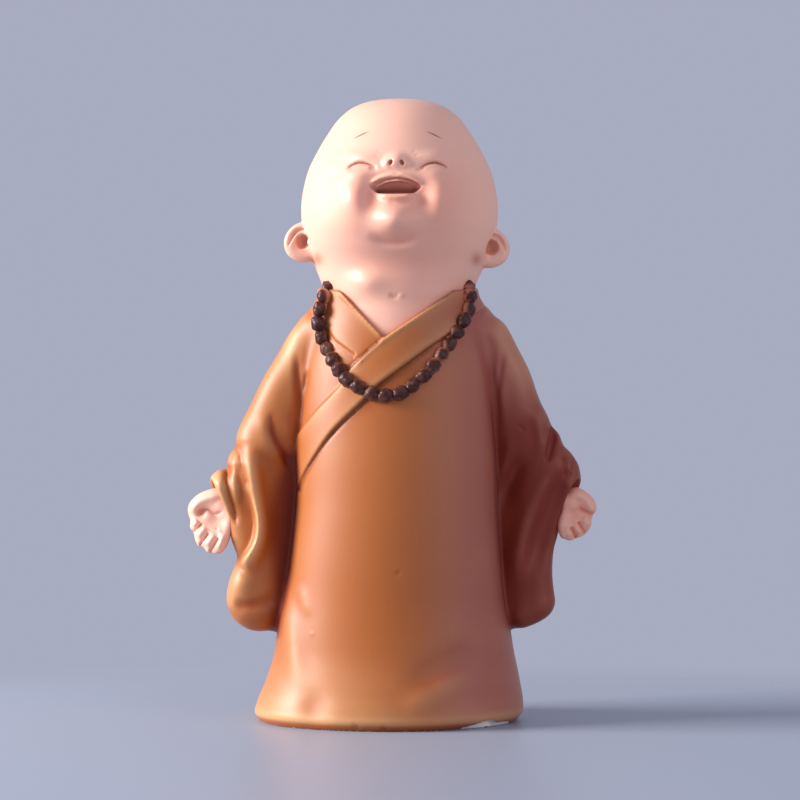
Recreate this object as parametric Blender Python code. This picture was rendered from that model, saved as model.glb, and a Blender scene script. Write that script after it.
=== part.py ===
import bmesh
import bpy
import numpy as np
import openvdb

# Sizes in metres. The figure stands on z = 0 and faces -Y.
HEIGHT = 0.100
HEAD_WIDTH = 0.0315
CHEST_WIDTH = 0.0310
HEM_WIDTH = 0.0432
HEM_DEPTH = 0.0335
SLEEVE_THICKNESS = 0.0090
SLEEVE_MOUTH = 0.0030
COLLAR_RAISE = 0.0007
BEAD_DIAMETER = 0.0028
BEAD_SPACING = 0.0023
NOSE_WIDTH = 0.0042
MOUTH_WIDTH = 0.0078
PALM_THICKNESS = 0.0030
LATTICE = 0.0005
TRIANGLES = 9400

# One hundredth of the height. The forms below are in these.
U = HEIGHT / 100


def soft_min(a, b, blend):
    blend = np.maximum(blend, 0.001)
    overlap = np.maximum(blend - np.abs(a - b), 0)
    return np.minimum(a, b) - overlap * overlap / (4 * blend)


def step_up(low, high, value):
    t = np.clip((value - low) / (high - low), 0, 1)
    return t * t * (3 - 2 * t)


def spline(points, closed=False, steps=6):
    points = np.array(points, float)
    if closed:
        ring = np.vstack([points[-1:], points, points[:2]])
    else:
        ring = np.vstack([2 * points[:1] - points[1:2], points, 2 * points[-1:] - points[-2:-1]])
    rows = []
    for a, b, c, d in zip(ring, ring[1:], ring[2:], ring[3:]):
        for t in np.arange(steps) / steps:
            bend = 2 * b + (c - a) * t + (2 * a - 5 * b + 4 * c - d) * t**2
            rows.append(0.5 * (bend + (3 * b - a - 3 * c + d) * t**3))
    if not closed:
        rows.append(points[-1])
    return np.array(rows)


def along(z, heights, values):
    heights = np.array(heights, float)
    values = np.array(values, float)
    slopes = np.gradient(values, heights)
    i = np.clip(np.searchsorted(heights, z) - 1, 0, len(heights) - 2)
    gap = heights[i + 1] - heights[i]
    t = np.clip((z - heights[i]) / gap, 0, 1)
    first = (2 * t**3 - 3 * t**2 + 1) * values[i] + (t**3 - 2 * t**2 + t) * gap * slopes[i]
    second = (3 * t**2 - 2 * t**3) * values[i + 1] + (t**3 - t**2) * gap * slopes[i + 1]
    return (first + second).astype(np.float32)


def line_distance(x, z, line):
    best = np.full(np.broadcast(x, z).shape, 1e6, np.float32)
    share = np.zeros(best.shape, np.float32)
    count = len(line) - 1
    for i, (a, b) in enumerate(zip(line, line[1:])):
        ab = b - a
        t = np.clip(((x - a[0]) * ab[0] + (z - a[1]) * ab[1]) / max(ab @ ab, 1e-9), 0, 1)
        gap = np.hypot(x - a[0] - t * ab[0], z - a[1] - t * ab[1])
        share = np.where(gap < best, (i + t) / count, share)
        best = np.minimum(gap, best)
    return best, share


def outline_distance(x, z, line):
    line = np.vstack([line, line[:1]])
    gap = line_distance(x, z, line)[0]
    inside = np.zeros(gap.shape, bool)
    for a, b in zip(line, line[1:]):
        if a[1] == b[1]:
            continue
        spans = (a[1] > z) != (b[1] > z)
        inside ^= spans & (x < a[0] + (z - a[1]) * (b[0] - a[0]) / (b[1] - a[1]))
    return np.where(inside, -gap, gap)


# A fold is a ridge, or a valley where its height is negative, along a line in the front view.
def fold(x, z, points, width, height, fade=0.25):
    gap, share = line_distance(x, z, spline(points))
    ends = step_up(0, fade, share) * step_up(0, fade, 1 - share) if fade else 1
    return height * np.exp(-((gap / width) ** 2)) * ends


# A crease is a crisp valley with soft shoulders.
def crease(x, z, points, width, depth, fade=0.25):
    gap, share = line_distance(x, z, spline(points))
    ends = step_up(0, fade, share) * step_up(0, fade, 1 - share)
    return -depth * np.exp(-gap / width) * ends


def spot(x, z, middle_x, middle_z, wide, high):
    return np.exp(-(((x - middle_x) / wide) ** 2) - ((z - middle_z) / high) ** 2)


class Clay:
    def __init__(self, low, high, step):
        self.low = np.array(low, float)
        self.step = step
        self.axes = [np.arange(a, b, step, dtype=np.float32) for a, b in zip(low, high)]
        self.depth = np.full([len(a) for a in self.axes], 9, np.float32)

    def window(self, low, high):
        spans = [np.searchsorted(a, [b, c]) for a, b, c in zip(self.axes, low, high)]
        cut = tuple(slice(first, last) for first, last in spans)
        return cut, np.ix_(*[a[s] for a, s in zip(self.axes, cut)])

    def join(self, form, blend=0.0):
        distance, low, high = form
        cut, place = self.window(low, high)
        self.depth[cut] = soft_min(self.depth[cut], distance(*place), blend)

    def carve(self, form, blend=0.0):
        distance, low, high = form
        cut, place = self.window(low, high)
        self.depth[cut] = -soft_min(-self.depth[cut], distance(*place), blend)

    def front(self, x, z):
        i, k = (int(round((v - a[0]) / self.step)) for v, a in ((x, self.axes[0]), (z, self.axes[2])))
        column = self.depth[i, :, k]
        j = max(int(np.argmax(column < 0)), 1)
        part = column[j - 1] / (column[j - 1] - column[j])
        return float(self.axes[1][j - 1] + part * self.step)

    def mesh(self):
        grid = openvdb.FloatGrid(3 * self.step)
        grid.copyFromArray(np.clip(self.depth, -3 * self.step, 3 * self.step))
        points, quads = grid.convertToQuads(0.0)
        return points * self.step + self.low, quads


def ball(centre, radii, pad=3.0, tilt=0.0):
    radii = np.array(radii, float)
    lean = np.cos(tilt), np.sin(tilt)

    def distance(x, y, z):
        x, z = x - centre[0], z - centre[2]
        u = (x * lean[0] + z * lean[1]) / radii[0] + 1e-4
        v = (y - centre[1]) / radii[1]
        w = (z * lean[0] - x * lean[1]) / radii[2]
        reach = np.sqrt(u * u + v * v + w * w)
        slope = np.sqrt((u / radii[0]) ** 2 + (v / radii[1]) ** 2 + (w / radii[2]) ** 2)
        return reach * (reach - 1) / slope

    size = radii.max() + pad
    return distance, np.array(centre) - size, np.array(centre) + size


def rod(points, radii, pad=3.0):
    points = np.array(points, float)

    def distance(x, y, z):
        best = 1e6
        for a, b, first, last in zip(points, points[1:], radii, radii[1:]):
            ab = b - a
            t = ((x - a[0]) * ab[0] + (y - a[1]) * ab[1] + (z - a[2]) * ab[2]) / (ab @ ab)
            t = np.clip(t, 0, 1)
            gap = (x - a[0] - t * ab[0]) ** 2 + (y - a[1] - t * ab[1]) ** 2
            gap = np.sqrt(gap + (z - a[2] - t * ab[2]) ** 2)
            best = np.minimum(best, gap - first - t * (last - first))
        return best

    size = max(radii) + pad
    return distance, points.min(0) - size, points.max(0) + size


# A form turned about a bending axis: its half width, half depth and middle change with z.
def turned(x, y, z, wide, deep, middle_x, middle_y):
    field = (x - middle_x) ** 2 + ((y - middle_y) * wide / deep) ** 2
    reach = np.sqrt(field + 1e-6)
    across = (x - middle_x) / reach
    fore = (y - middle_y) * (wide / deep) ** 2 / reach
    return (reach - wide) / np.sqrt(across**2 + fore**2 + 1e-6)


# Half the head's width by height, how much wider it is than deep, and its middle. A half width below
# zero is past the crown.
HEAD_Z = [58, 62, 66, 68, 70, 72, 74, 76.8, 79.9, 82.8, 85.7, 88.6, 91.5, 94.2, 97.1, 98.8, 99.5, 100, 102]
HEAD_HALF = [12.2, 12.2, 12.0, 12.0, 12.3, 13.1, 14.0, 15.0, 15.6, 15.7, 15.3, 14.5, 13.1, 11.5, 9.3, 6.9,
             4.9, 0, -9.5]
HEAD_ROUND = [1.06, 1.07, 1.09, 1.11, 1.09, 1.08, 1.08, 1.03, 0.975, 0.963, 0.95, 0.935, 0.915, 0.91, 0.92,
              0.93, 0.94, 0.94, 0.94]
HEAD_MID = [0.4, 0.4, 0.4, 0.5, 0.9, 1.1, 1.2, 1.3, 1.4, 1.7, 2.1, 2.5, 2.8, 3.0, 3.2, 3.3, 3.3, 3.3, 3.3]


def head_block():
    shares = np.array(HEAD_HALF) / 15.65
    inside_of = shares * np.abs(shares) * (HEAD_WIDTH / 2 / U) ** 2

    def distance(x, y, z):
        fore = (y - along(z, HEAD_Z, HEAD_MID)) * along(z, HEAD_Z, HEAD_ROUND)
        across = x - 0.43 * step_up(62, 74, z)
        field = across**2 + fore**2 - along(z, HEAD_Z, inside_of)
        slopes = np.gradient(field, x[1, 0, 0] - x[0, 0, 0])
        steep = np.sqrt(slopes[0] ** 2 + slopes[1] ** 2 + slopes[2] ** 2)
        return field / np.maximum(steep, 2) - face_relief(x, z) * step_up(-1, -5, y)

    return distance, (-22, -22, 58), (22, 24, 102)


# The laughing face is turned up, so that its chin comes forward and its brow lies back.
def face_relief(x, z):
    rise = 0
    for side in (-1, 1):
        rise = rise + 1.45 * spot(x, z, side * 7.0, 83.9, 3.1, 4.4)
        rise = rise - 0.85 * spot(x, z, side * 4.0 + 0.1, 83.9, 1.7, 2.8)
        eye = [(3.5, 88.4), (4.3, 88.9), (5.7, 89.3), (6.9, 89.0), (7.9, 88.3)]
        rise = rise + fold(x, z, [(side * a, b) for a, b in eye], 0.4, -0.4, 0.15)
        rise = rise + 0.4 * spot(x, z, side * 5.7 + 0.2, 90.4, 2.4, 0.9)
        rise = rise + 0.3 * spot(x, z, side * 5.7, 87.6, 2.4, 0.9)
        rise = rise + fold(x, z, [(side * 8.2, 87.9), (side * 9.8, 87.3), (side * 11.4, 86.6)], 0.6, -0.15)
    rise = rise + 2.1 * spot(x, z, -0.4, 80.3, 3.2, 2.5)
    under_chin = [(-4.8, 78.2), (-2.9, 77.2), (-0.5, 76.8), (2.0, 77.2), (3.4, 78.4)]
    rise = rise + fold(x, z, under_chin, 0.8, -0.6, 0.4)
    rise = rise - 0.25 * spot(x, z, 0, 73.8, 9.0, 2.6)
    rise = rise + 0.6 * spot(x, z, 0, 69.6, 8.0, 2.2)
    rise = rise + 0.9 * spot(x, z, -5.0, 70.4, 3.0, 1.8)
    lip = [(-4.3, 85.9), (-2.6, 86.9), (-0.9, 87.3), (0, 87.2), (0.9, 87.3), (2.5, 86.8), (4.0, 85.7)]
    rise = rise + fold(x, z, lip, 0.45, 0.4, 0.1)
    return rise + fold(x, z, [(-3.4, 84.2), (0, 83.9), (3.0, 84.2)], 0.6, 0.6)


MOUTH = [(-4.4, 85.7), (-3.2, 86.4), (-1.6, 86.85), (0, 86.95), (1.6, 86.8), (3.0, 86.3), (3.95, 85.5),
         (3.45, 84.9), (2.6, 84.45), (0, 84.35), (-2.7, 84.4), (-3.6, 84.8)]


# The open mouth goes in behind its lips, deepest at its lower edge.
def mouth_hollow(front_y):
    share = MOUTH_WIDTH / 2 / U / 4.0
    line = spline(np.array(MOUTH) * (share, 1), closed=True)

    def distance(x, y, z):
        edge = outline_distance(x, z, line)
        floor = y - front_y - 1.5 + 0.3 * (z - 84.4)
        return -soft_min(-edge, -floor, 0.4)

    return distance, (-6, -20, 82), (6, -6, 89)


def add_head(clay):
    clay.join(head_block())
    nose = NOSE_WIDTH / 2 / U
    tip = clay.front(0, 89.6)
    clay.join(ball((-0.1, tip + 0.7, 89.5), (nose * 0.72, 1.7, 1.1)), 1.1)
    for side in (-1, 1):
        clay.join(ball((side * nose * 0.62 - 0.1, tip + 0.4, 89.1), (0.9, 1.1, 0.85)), 0.5)
    for side in (-1, 1):
        nostril = (side * nose * 0.42 - 0.1, tip - 0.8, 89.3)
        clay.carve(ball(nostril, (0.36, 0.7, 0.5), tilt=side * 0.5), 0.15)
    clay.carve(mouth_hollow(clay.front(0, 85.4)), 0.15)
    for side in (-1, 1):
        add_ear(clay, side)


def add_ear(clay, side):
    middle = HEAD_WIDTH / 2 / U - 0.3
    low = 0.9 if side > 0 else 0

    def place(x, y, z):
        return side * (middle + x), y, z + 76.9 - low

    clay.join(ball(place(-0.7, -0.6, -0.1), (2.7, 1.5, 2.9), tilt=side * 0.3), 0.9)
    ring = [(-1.0, 2.0), (0.1, 1.9), (1.0, 1.2), (1.5, 0.25), (1.5, -0.7), (1.1, -1.5), (0.3, -2.0),
            (-0.7, -2.2), (-1.6, -2.0)]
    ring = spline(ring, steps=3)
    clay.join(rod([place(a, -0.95, b) for a, b in ring], np.full(len(ring), 1.1)), 0.5)
    rim = spline([(-0.8, 2.55), (0.4, 2.4), (1.45, 1.6), (2.1, 0.4), (2.2, -0.6), (1.6, -1.9)], steps=3)
    clay.join(rod([place(a, -1.6, b) for a, b in rim], np.linspace(0.45, 0.2, len(rim))), 0.4)
    clay.carve(ball(place(-0.3, -2.5, 0.0), (1.3, 1.6, 1.35)), 0.2)
    clay.join(rod([place(-1.8, -2.0, 0.6), place(-1.5, -2.3, -0.1)], [0.5, 0.4]), 0.4)


BODY_Z = [-4, 0, 1.5, 2.6, 6.4, 11.3, 14.5, 19.3, 27.3, 35.4, 43.4, 51.4, 58, 63, 66.5, 72]
BODY_HALF = [20.0, 20.5, 21.4, 21.3, 20.3, 19.1, 18.6, 17.7, 16.8, 16.1, 15.9, 15.5, 14.9, 13.8, 12.9, 12.4]
BODY_MID = [-1.5, -1.5, -1.3, -1.15, -0.65, -0.4, -0.4, -0.4, -0.2, 0, 0, 0, 0, 0, 0, 0]
BODY_FRONT = [16.2, 16.6, 17.5, 17.4, 16.5, 15.4, 15.0, 14.6, 14.5, 14.4, 14.0, 13.0, 12.0, 11.2, 10.7, 10.4]
BODY_BACK = [14.8, 15.0, 16.0, 15.9, 15.0, 14.2, 13.8, 13.2, 12.7, 12.4, 12.1, 12.1, 12.1, 12.0, 11.6, 11.4]
COLLAR_V = [(-9.0, 72), (-9.0, 69.2), (-2.0, 61.9), (8.7, 69.0), (8.7, 72)]
BAND = [(8.7, 74), (8.7, 69.0), (-2.0, 61.9), (-6.7, 57.7), (-7.7, 56.7), (-9.0, 54.1), (-12.9, 50.0),
        (-16.0, 46.0), (-18.0, 36.0), (-15.7, 36.8), (-13.7, 41.5), (-10.1, 46.8), (-4.6, 52.4),
        (-2.8, 54.3), (7.9, 62.2), (14.0, 66.5), (14.0, 74)]
UNDER_BAND = [(-9.0, 74), (-9.0, 69.2), (-2.0, 61.9), (-6.4, 58.0), (-6.7, 59.2), (-9.8, 61.4), (-11.2, 63.8),
              (-14.0, 66), (-14, 74)]


def robe_relief(x, z):
    raised = COLLAR_RAISE / U
    band = step_up(0.25, -0.25, outline_distance(x, z, np.array(BAND)))
    under = step_up(0.25, -0.25, outline_distance(x, z, np.array(UNDER_BAND)))
    fading = step_up(36, 52, z)
    rise = raised * np.maximum(band * fading, under * 0.5)
    rise = rise - 1.6 * step_up(0.2, -0.2, outline_distance(x, z, np.array(COLLAR_V)))
    rise = rise + fold(x, z, [(-18.3, 24), (-17.2, 14), (-15.6, 5)], 1.8, 0.55, 0.4)
    rise = rise + fold(x, z, [(-15.8, 23), (-13.8, 17)], 0.9, 0.15, 0.4)
    rise = rise - 0.55 * spot(x, z, -13.0, 3.4, 2.3, 2.4)
    rise = rise + fold(x, z, [(14, 14), (7.5, 10), (0, 5.5)], 2.6, -0.45, 0.4)
    return rise + fold(x, z, [(12, 9.5), (5.5, 6), (0, 3.5)], 2.0, 0.4, 0.4)


# The back of the robe hangs in long soft folds.
def back_relief(x, z):
    rise = fold(x, z, [(-8, 50), (-10, 25), (-12, 3)], 2.2, 0.7)
    rise = rise + fold(x, z, [(7, 48), (9.5, 22), (11, 2)], 2.4, 0.7)
    rise = rise + fold(x, z, [(-1, 40), (-1.5, 20), (-2, 2)], 2.2, -0.6)
    return rise + (COLLAR_RAISE / U) * step_up(64.4, 64.8, z)


def robe_block():
    flare = np.clip((np.array(BODY_HALF) - 15.5) / (21.4 - 15.5), 0, 1)
    flare[np.array(BODY_Z) > 50] = 0
    chest = CHEST_WIDTH / 2 / U
    hem = HEM_WIDTH / 2 / U
    half = np.minimum(np.array(BODY_HALF) / 15.5, 1) * (chest + flare * (hem - chest))
    deeper = 1 + flare * (HEM_DEPTH / U / 33.5 - 1)
    front = np.array(BODY_FRONT) * deeper
    back = np.array(BODY_BACK) * deeper

    def distance(x, y, z):
        deep = along(z, BODY_Z, (front + back) / 2)
        middle = along(z, BODY_Z, (back - front) / 2)
        body = turned(x, y, z, along(z, BODY_Z, half), deep, along(z, BODY_Z, BODY_MID), middle)
        body = body - robe_relief(x, z) * step_up(2, -2, y)
        body = body - back_relief(x, z) * step_up(2, 6, y)
        top = z - 69.6 - 0.05 * y
        return -soft_min(-body, -np.maximum(top, -3 - z), 0.6)

    return distance, (-26, -22, -4), (26, 22, 73)


LEFT_SLEEVE = [(-13.9, 65.5), (-16.5, 63.2), (-18.4, 59.4), (-21.1, 55.4), (-23.3, 50.8), (-24.9, 47.6),
               (-25.6, 45.4), (-25.3, 43.9), (-26.4, 42.9), (-27.0, 41.6), (-26.9, 40.6), (-28.6, 40.3),
               (-29.8, 39.3), (-30.1, 38.1), (-29.6, 36.5), (-27.9, 33.9), (-27.3, 31.3), (-27.0, 29.3),
               (-26.4, 27.7), (-25.8, 26.0), (-26.5, 23.6), (-27.1, 21.8), (-27.4, 20.3), (-27.3, 18.7), (-26.7, 17.1),
               (-25.6, 15.6), (-23.6, 14.5), (-21.0, 14.2), (-16.0, 14.1), (-11, 20), (-9, 40),
               (-8, 58), (-9.5, 65)]
RIGHT_SLEEVE = [(13.8, 66.4), (15.6, 65.1), (17.5, 63.5), (19.3, 60.1), (21.4, 55.9), (22.7, 51.3),
                (23.9, 48.9), (24.5, 47.1), (26.0, 46.0), (26.8, 44.2), (28.0, 43.0), (29.1, 41.3),
                (29.5, 39.6), (29.6, 38.2), (28.9, 36.2), (27.7, 34.4), (26.8, 32.3), (25.9, 29.2),
                (25.3, 26.9), (25.1, 23.6), (25.3, 21.2), (25.5, 19.6), (25.3, 18.2), (24.6, 17.0),
                (23.3, 16.0), (21.4, 15.1), (19.2, 14.5), (15.0, 14.4), (11, 20), (9, 40), (8, 58),
                (9.5, 65.5)]


def left_folds(x, z):
    rise = -1.5 * step_up(-22.4, -16.0, x) * step_up(50, 36, z)
    ridge = [(-24.0, 46.3), (-23.4, 41.0), (-22.6, 35.7), (-22.0, 31.4), (-22.6, 28.6), (-24.2, 26.2),
             (-25.6, 24.9)]
    crest = along(z, [24, 26.2, 28.6, 31.4, 35.7, 41], [-25.4, -24.1, -22.6, -22.0, -22.6, -23.4])
    steep = (1 - step_up(crest - 1.1, crest - 0.1, x)) * step_up(38, 33, z)
    rise = rise + fold(x, z, ridge, 1.5, 1.7, 0.22) * (1 - steep)
    rise = rise - 0.4 * spot(x, z, -24.4, 33.0, 1.4, 5.0)
    rise = rise + fold(x, z, [(-21.4, 50.5), (-21.0, 46.5), (-19.8, 42.5)], 1.3, 0.6, 0.4)
    rise = rise + crease(x, z, [(-20.1, 50.2), (-19.7, 46.3), (-18.3, 43.1), (-16.9, 40.4)], 0.6, 1.4, 0.3)
    rise = rise + fold(x, z, [(-17.6, 49.0), (-17.0, 45.5), (-15.8, 42.0)], 1.2, 0.6, 0.4)
    rise = rise + crease(x, z, [(-25.3, 44.6), (-24.8, 41.5), (-24.2, 39.5), (-23.6, 36.8)], 0.55, 0.6)
    rise = rise + fold(x, z, [(-26.2, 42.9), (-26.1, 40.2), (-25.9, 37.8), (-25.3, 34.6)], 0.7, 0.5, 0.3)
    rise = rise + crease(x, z, [(-26.9, 41.4), (-27.3, 38.9), (-26.8, 36.6), (-26.0, 33.9), (-25.6, 31.0)],
                         0.45, 0.65, 0.2)
    rise = rise + fold(x, z, [(-28.6, 39.6), (-28.3, 37.3), (-27.4, 34.6), (-26.6, 31.8)], 0.6, 0.35, 0.3)
    rise = rise + fold(x, z, [(-26.6, 19.0), (-23.2, 18.9), (-18.4, 20.3)], 1.0, -0.45, 0.3)
    return rise + 0.5 * spot(x, z, -25.0, 22.6, 1.8, 1.8)


def right_folds(x, z):
    rise = -1.3 * step_up(21.0, 15.8, x) * step_up(48, 36, z)
    ridge = [(25.6, 42.6), (23.7, 37.9), (21.8, 33.8), (20.2, 30.0), (19.3, 26.1), (19.0, 20.5)]
    rise = rise + fold(x, z, ridge, 1.7, 1.2, 0.25)
    valley = [(26.9, 41.6), (25.9, 38.3), (24.5, 34.4), (23.2, 30.9), (22.3, 26.8), (22.0, 21.5)]
    rise = rise + fold(x, z, valley, 1.8, -1.5, 0.3)
    hollow = [(21.3, 50.5), (20.9, 45.3), (19.3, 41.0), (17.8, 36.5), (17.0, 32.5)]
    rise = rise + fold(x, z, hollow, 1.6, -1.3, 0.3)
    rise = rise + fold(x, z, [(18.8, 48.5), (17.8, 42.5), (16.6, 37.5)], 1.2, 0.7, 0.4)
    rise = rise + fold(x, z, [(22.9, 50.5), (22.8, 46.5), (23.0, 42.5)], 1.1, 0.6, 0.35)
    rise = rise + crease(x, z, [(25.1, 46.9), (24.9, 44.9), (24.1, 42.0)], 0.5, 0.6, 0.25)
    rise = rise + crease(x, z, [(26.7, 43.2), (26.9, 41.0), (27.1, 38.9)], 0.4, 0.55, 0.25)
    return rise + crease(x, z, [(28.2, 43.0), (28.0, 40.8), (27.6, 39.2)], 0.35, 0.35, 0.25)


def sleeve_block(side):
    line = spline(LEFT_SLEEVE if side < 0 else RIGHT_SLEEVE, closed=True)
    thick = SLEEVE_THICKNESS / 2 / U
    folds = left_folds if side < 0 else right_folds

    def distance(x, y, z):
        edge = outline_distance(x, z, line)
        middle = 1.8 - 0.13 * (side * x - 12)
        deep = thick * along(z, [14, 24, 40, 66], [1.0, 0.97, 0.92, 1.15])
        slab = np.abs(y - middle) - deep
        bend = 0.8 * thick
        outer = np.maximum(edge + bend, 0) ** 2 + np.maximum(slab + bend, 0) ** 2
        sleeve = np.minimum(np.maximum(edge + bend, slab + bend), 0) + np.sqrt(outer) - bend
        sleeve = sleeve - folds(x, z) * step_up(middle + 1, middle - 2, y)
        behind = fold(x, z, [(side * 19, 52), (side * 21, 38), (side * 22, 20)], 2.0, 0.9)
        return sleeve - behind * step_up(middle, middle + 3, y)

    low, high = sorted((side * 6, side * 33))
    return distance, (low, -10, 10), (high, 12, 70)


def add_sleeve(clay, side):
    bag = Clay(clay.low, [a[-1] + clay.step / 2 for a in clay.axes], clay.step)
    bag.join(sleeve_block(side))
    arm = [(side * 13.6, 1.8, 57.6), (side * 20.6, 0.4, 45.0), (side * 23.6, -0.4, 41.4)]
    bag.join(rod(arm, [5.2, 4.6, 3.0]), 1.6)
    mouth = SLEEVE_MOUTH / 2 / U
    if side < 0:
        rim = [(-29.8, -1.4, 36.6), (-27.9, -0.8, 32.4), (-26.8, -0.4, 27), (-27.9, -0.2, 20.5)]
    else:
        rim = [(29.7, -2.0, 36.9), (28.0, -0.8, 32.4), (25.9, -0.4, 27), (26.0, -0.2, 20.5)]
    bag.carve(rod(rim, [mouth * 1.5, mouth * 1.4, mouth, mouth * 0.8]), 0.4)
    if side > 0:
        pocket = [(25.1, -1.6, 46.8), (24.8, -3.2, 45.0), (24.1, -4.1, 42.2)]
        bag.carve(rod(pocket, [0.7, 0.8, 0.4]), 0.3)
    blend = along(clay.axes[2], [0, 54, 58, 63, 70], [0.9, 0.9, 1.1, 2.6, 3.0])
    clay.depth = soft_min(clay.depth, bag.depth, blend[None, None, :])


LEFT_HAND = [(-28.8, 37.3), (-31.2, 36.5), (-32.9, 35.2), (-33.6, 33.8), (-33.5, 32.8), (-33.2, 32.1),
             (-33.3, 31.0), (-32.7, 29.9), (-32.4, 28.8), (-31.9, 28.0), (-31.1, 27.8), (-30.5, 27.1),
             (-29.6, 26.9), (-28.8, 26.8), (-28.0, 27.1), (-27.3, 28.1), (-26.8, 29.4), (-26.2, 31.7),
             (-25.6, 34.9), (-27.2, 37.2)]
RIGHT_HAND = [(28.9, 37.4), (30.2, 36.7), (31.3, 35.7), (31.9, 34.5), (31.8, 33.4), (31.3, 32.3),
              (31.2, 31.2), (30.6, 30.3), (29.9, 29.7), (28.8, 29.3), (27.8, 29.0), (27.0, 29.2),
              (26.2, 29.7), (25.85, 31.7), (26.7, 34.9), (27.6, 37.0)]


def left_palm(x, z):
    rise = fold(x, z, [(-26.8, 36.8), (-30.7, 35.9), (-32.3, 34.8), (-33.0, 33.0)], 1.0, 0.7)
    thumb = [(-32.3, 32.9), (-31.6, 33.6), (-30.4, 33.9), (-29.0, 33.2), (-27.6, 34.0)]
    rise = rise + crease(x, z, thumb, 0.4, 0.7)
    rise = rise - 0.7 * spot(x, z, -31.5, 33.4, 0.7, 0.7)
    for line in ([(-33.0, 29.8), (-31.2, 31.8)], [(-31.8, 28.0), (-30.1, 30.3)], [(-30.1, 27.0), (-28.5, 29.6)]):
        rise = rise + crease(x, z, line, 0.3, 0.6, 0.15)
    for line in ([(-33.0, 31.2), (-31.9, 32.3)], [(-32.3, 29.3), (-30.6, 31.4)],
                 [(-30.8, 27.9), (-29.1, 30.4)], [(-28.8, 27.6), (-27.6, 30.4)]):
        rise = rise + fold(x, z, line, 0.6, 0.45, 0.3)
    return rise - 0.6 * spot(x, z, -28.6, 32.2, 1.7, 1.2)


def right_palm(x, z):
    rise = fold(x, z, [(27.0, 37.2), (30.3, 35.9), (31.3, 34.4), (31.5, 33.0)], 0.9, 0.6)
    rise = rise + crease(x, z, [(28.0, 34.5), (29.4, 34.1), (30.6, 33.5), (31.6, 32.7)], 0.4, 0.9, 0.15)
    for line in ([(29.0, 32.1), (30.2, 30.0)], [(27.8, 31.3), (28.8, 29.4)]):
        rise = rise + crease(x, z, line, 0.3, 0.9, 0.15)
    for line in ([(29.9, 32.9), (31.0, 31.2)], [(28.4, 32.0), (29.6, 30.0)], [(27.2, 31.4), (27.9, 29.6)]):
        rise = rise + fold(x, z, line, 0.5, 0.35, 0.3)
    return rise - 0.5 * spot(x, z, 28.0, 33.2, 1.4, 1.2)


def hand_block(side):
    line = spline(LEFT_HAND if side < 0 else RIGHT_HAND, closed=True)
    palm = left_palm if side < 0 else right_palm
    thick = PALM_THICKNESS / 2 / U

    def distance(x, y, z):
        middle = -0.9 + 0.1 * (z - 33) + 0.3 * (side * x - 28.5)
        edge = outline_distance(x, z, line)
        slab = np.abs(y - middle) - thick
        bend = 0.85 * thick
        outer = np.maximum(edge + bend, 0) ** 2 + np.maximum(slab + bend, 0) ** 2
        hand = np.minimum(np.maximum(edge + bend, slab + bend), 0) + np.sqrt(outer) - bend
        return hand - palm(x, z) * step_up(middle + 0.5, middle - 0.8, y)

    low, high = sorted((side * 23, side * 35))
    return distance, (low, -7, 25), (high, 5, 40)


def add_hand(clay, side):
    wrist = [(side * 28.0, -0.8, 34.8), (side * 24.5, -0.2, 37.2)]
    clay.join(rod(wrist, [1.6, 2.0]), 0.3)
    clay.join(hand_block(side), 0.3)


# The bead string lies on the collar in front and goes round the neck behind.
def bead_places(clay):
    front = [(-10.9, 69.6), (-12.0, 67.2), (-12.5, 65.1), (-12.4, 63.2), (-11.7, 61.3), (-10.2, 58.2),
             (-7.6, 54.9), (-3.5, 52.9), (-0.9, 52.8), (1.6, 53.6), (5.4, 56.9), (8.2, 60.6), (10.6, 64.5),
             (11.6, 66.8), (11.3, 69.6)]
    sunk = 0.15 * BEAD_DIAMETER / U
    share = CHEST_WIDTH / U / 31
    points = [(a * share, clay.front(a * share, b) - sunk, b) for a, b in front]
    nape = [(10.8, 4.5, 70.6), (7.6, 9.6, 70.6), (0, 12.4, 70.2), (-7.6, 9.6, 70.6), (-10.6, 4.5, 70.6)]
    points += [(a * share, b, c) for a, b, c in nape]
    line = spline(points, closed=True, steps=10)
    line = np.vstack([line, line[:1]])
    run = np.concatenate([[0], np.cumsum(np.linalg.norm(np.diff(line, axis=0), axis=1))])
    count = int(round(run[-1] * U / BEAD_SPACING))
    stops = np.arange(count) * run[-1] / count
    return np.stack([np.interp(stops, run, line[:, i]) for i in range(3)], axis=1)


def add_beads(clay):
    radius = BEAD_DIAMETER / 2 / U
    for place in bead_places(clay):
        clay.join(ball(place, (radius, radius, radius), pad=1.5), 0.3)


# A flake is missing from the hem, at the front near its right end.
def add_chip(clay):
    hem = [(10.4, 0.0), (12.0, 0.15), (13.6, 0.5), (14.6, 0.7), (15.5, 0.3), (16.6, 0.25), (17.8, 0.15)]
    hem = [(a, clay.front(a, max(b, 0.25)) - 0.05, b) for a, b in hem]
    clay.carve(rod(hem, [0.3, 0.5, 0.65, 0.6, 0.5, 0.5, 0.3]), 0.2)


def model_clay():
    clay = Clay((-34, -22, -4), (34, 22, 102), LATTICE / U)
    clay.join(robe_block())
    for side in (-1, 1):
        add_sleeve(clay, side)
        add_hand(clay, side)
    skin = Clay((-34, -22, -4), (34, 22, 102), LATTICE / U)
    add_head(skin)
    clay.depth = np.minimum(clay.depth, skin.depth)
    add_beads(clay)
    add_chip(clay)
    return clay


def paint():
    material = bpy.data.materials.new("painted_resin")
    material.use_nodes = True
    shader = material.node_tree.nodes["Principled BSDF"]
    shader.inputs["Base Color"].default_value = (0.42, 0.16, 0.05, 1)
    shader.inputs["Roughness"].default_value = 0.5
    shader.inputs["Metallic"].default_value = 0
    return material


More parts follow.
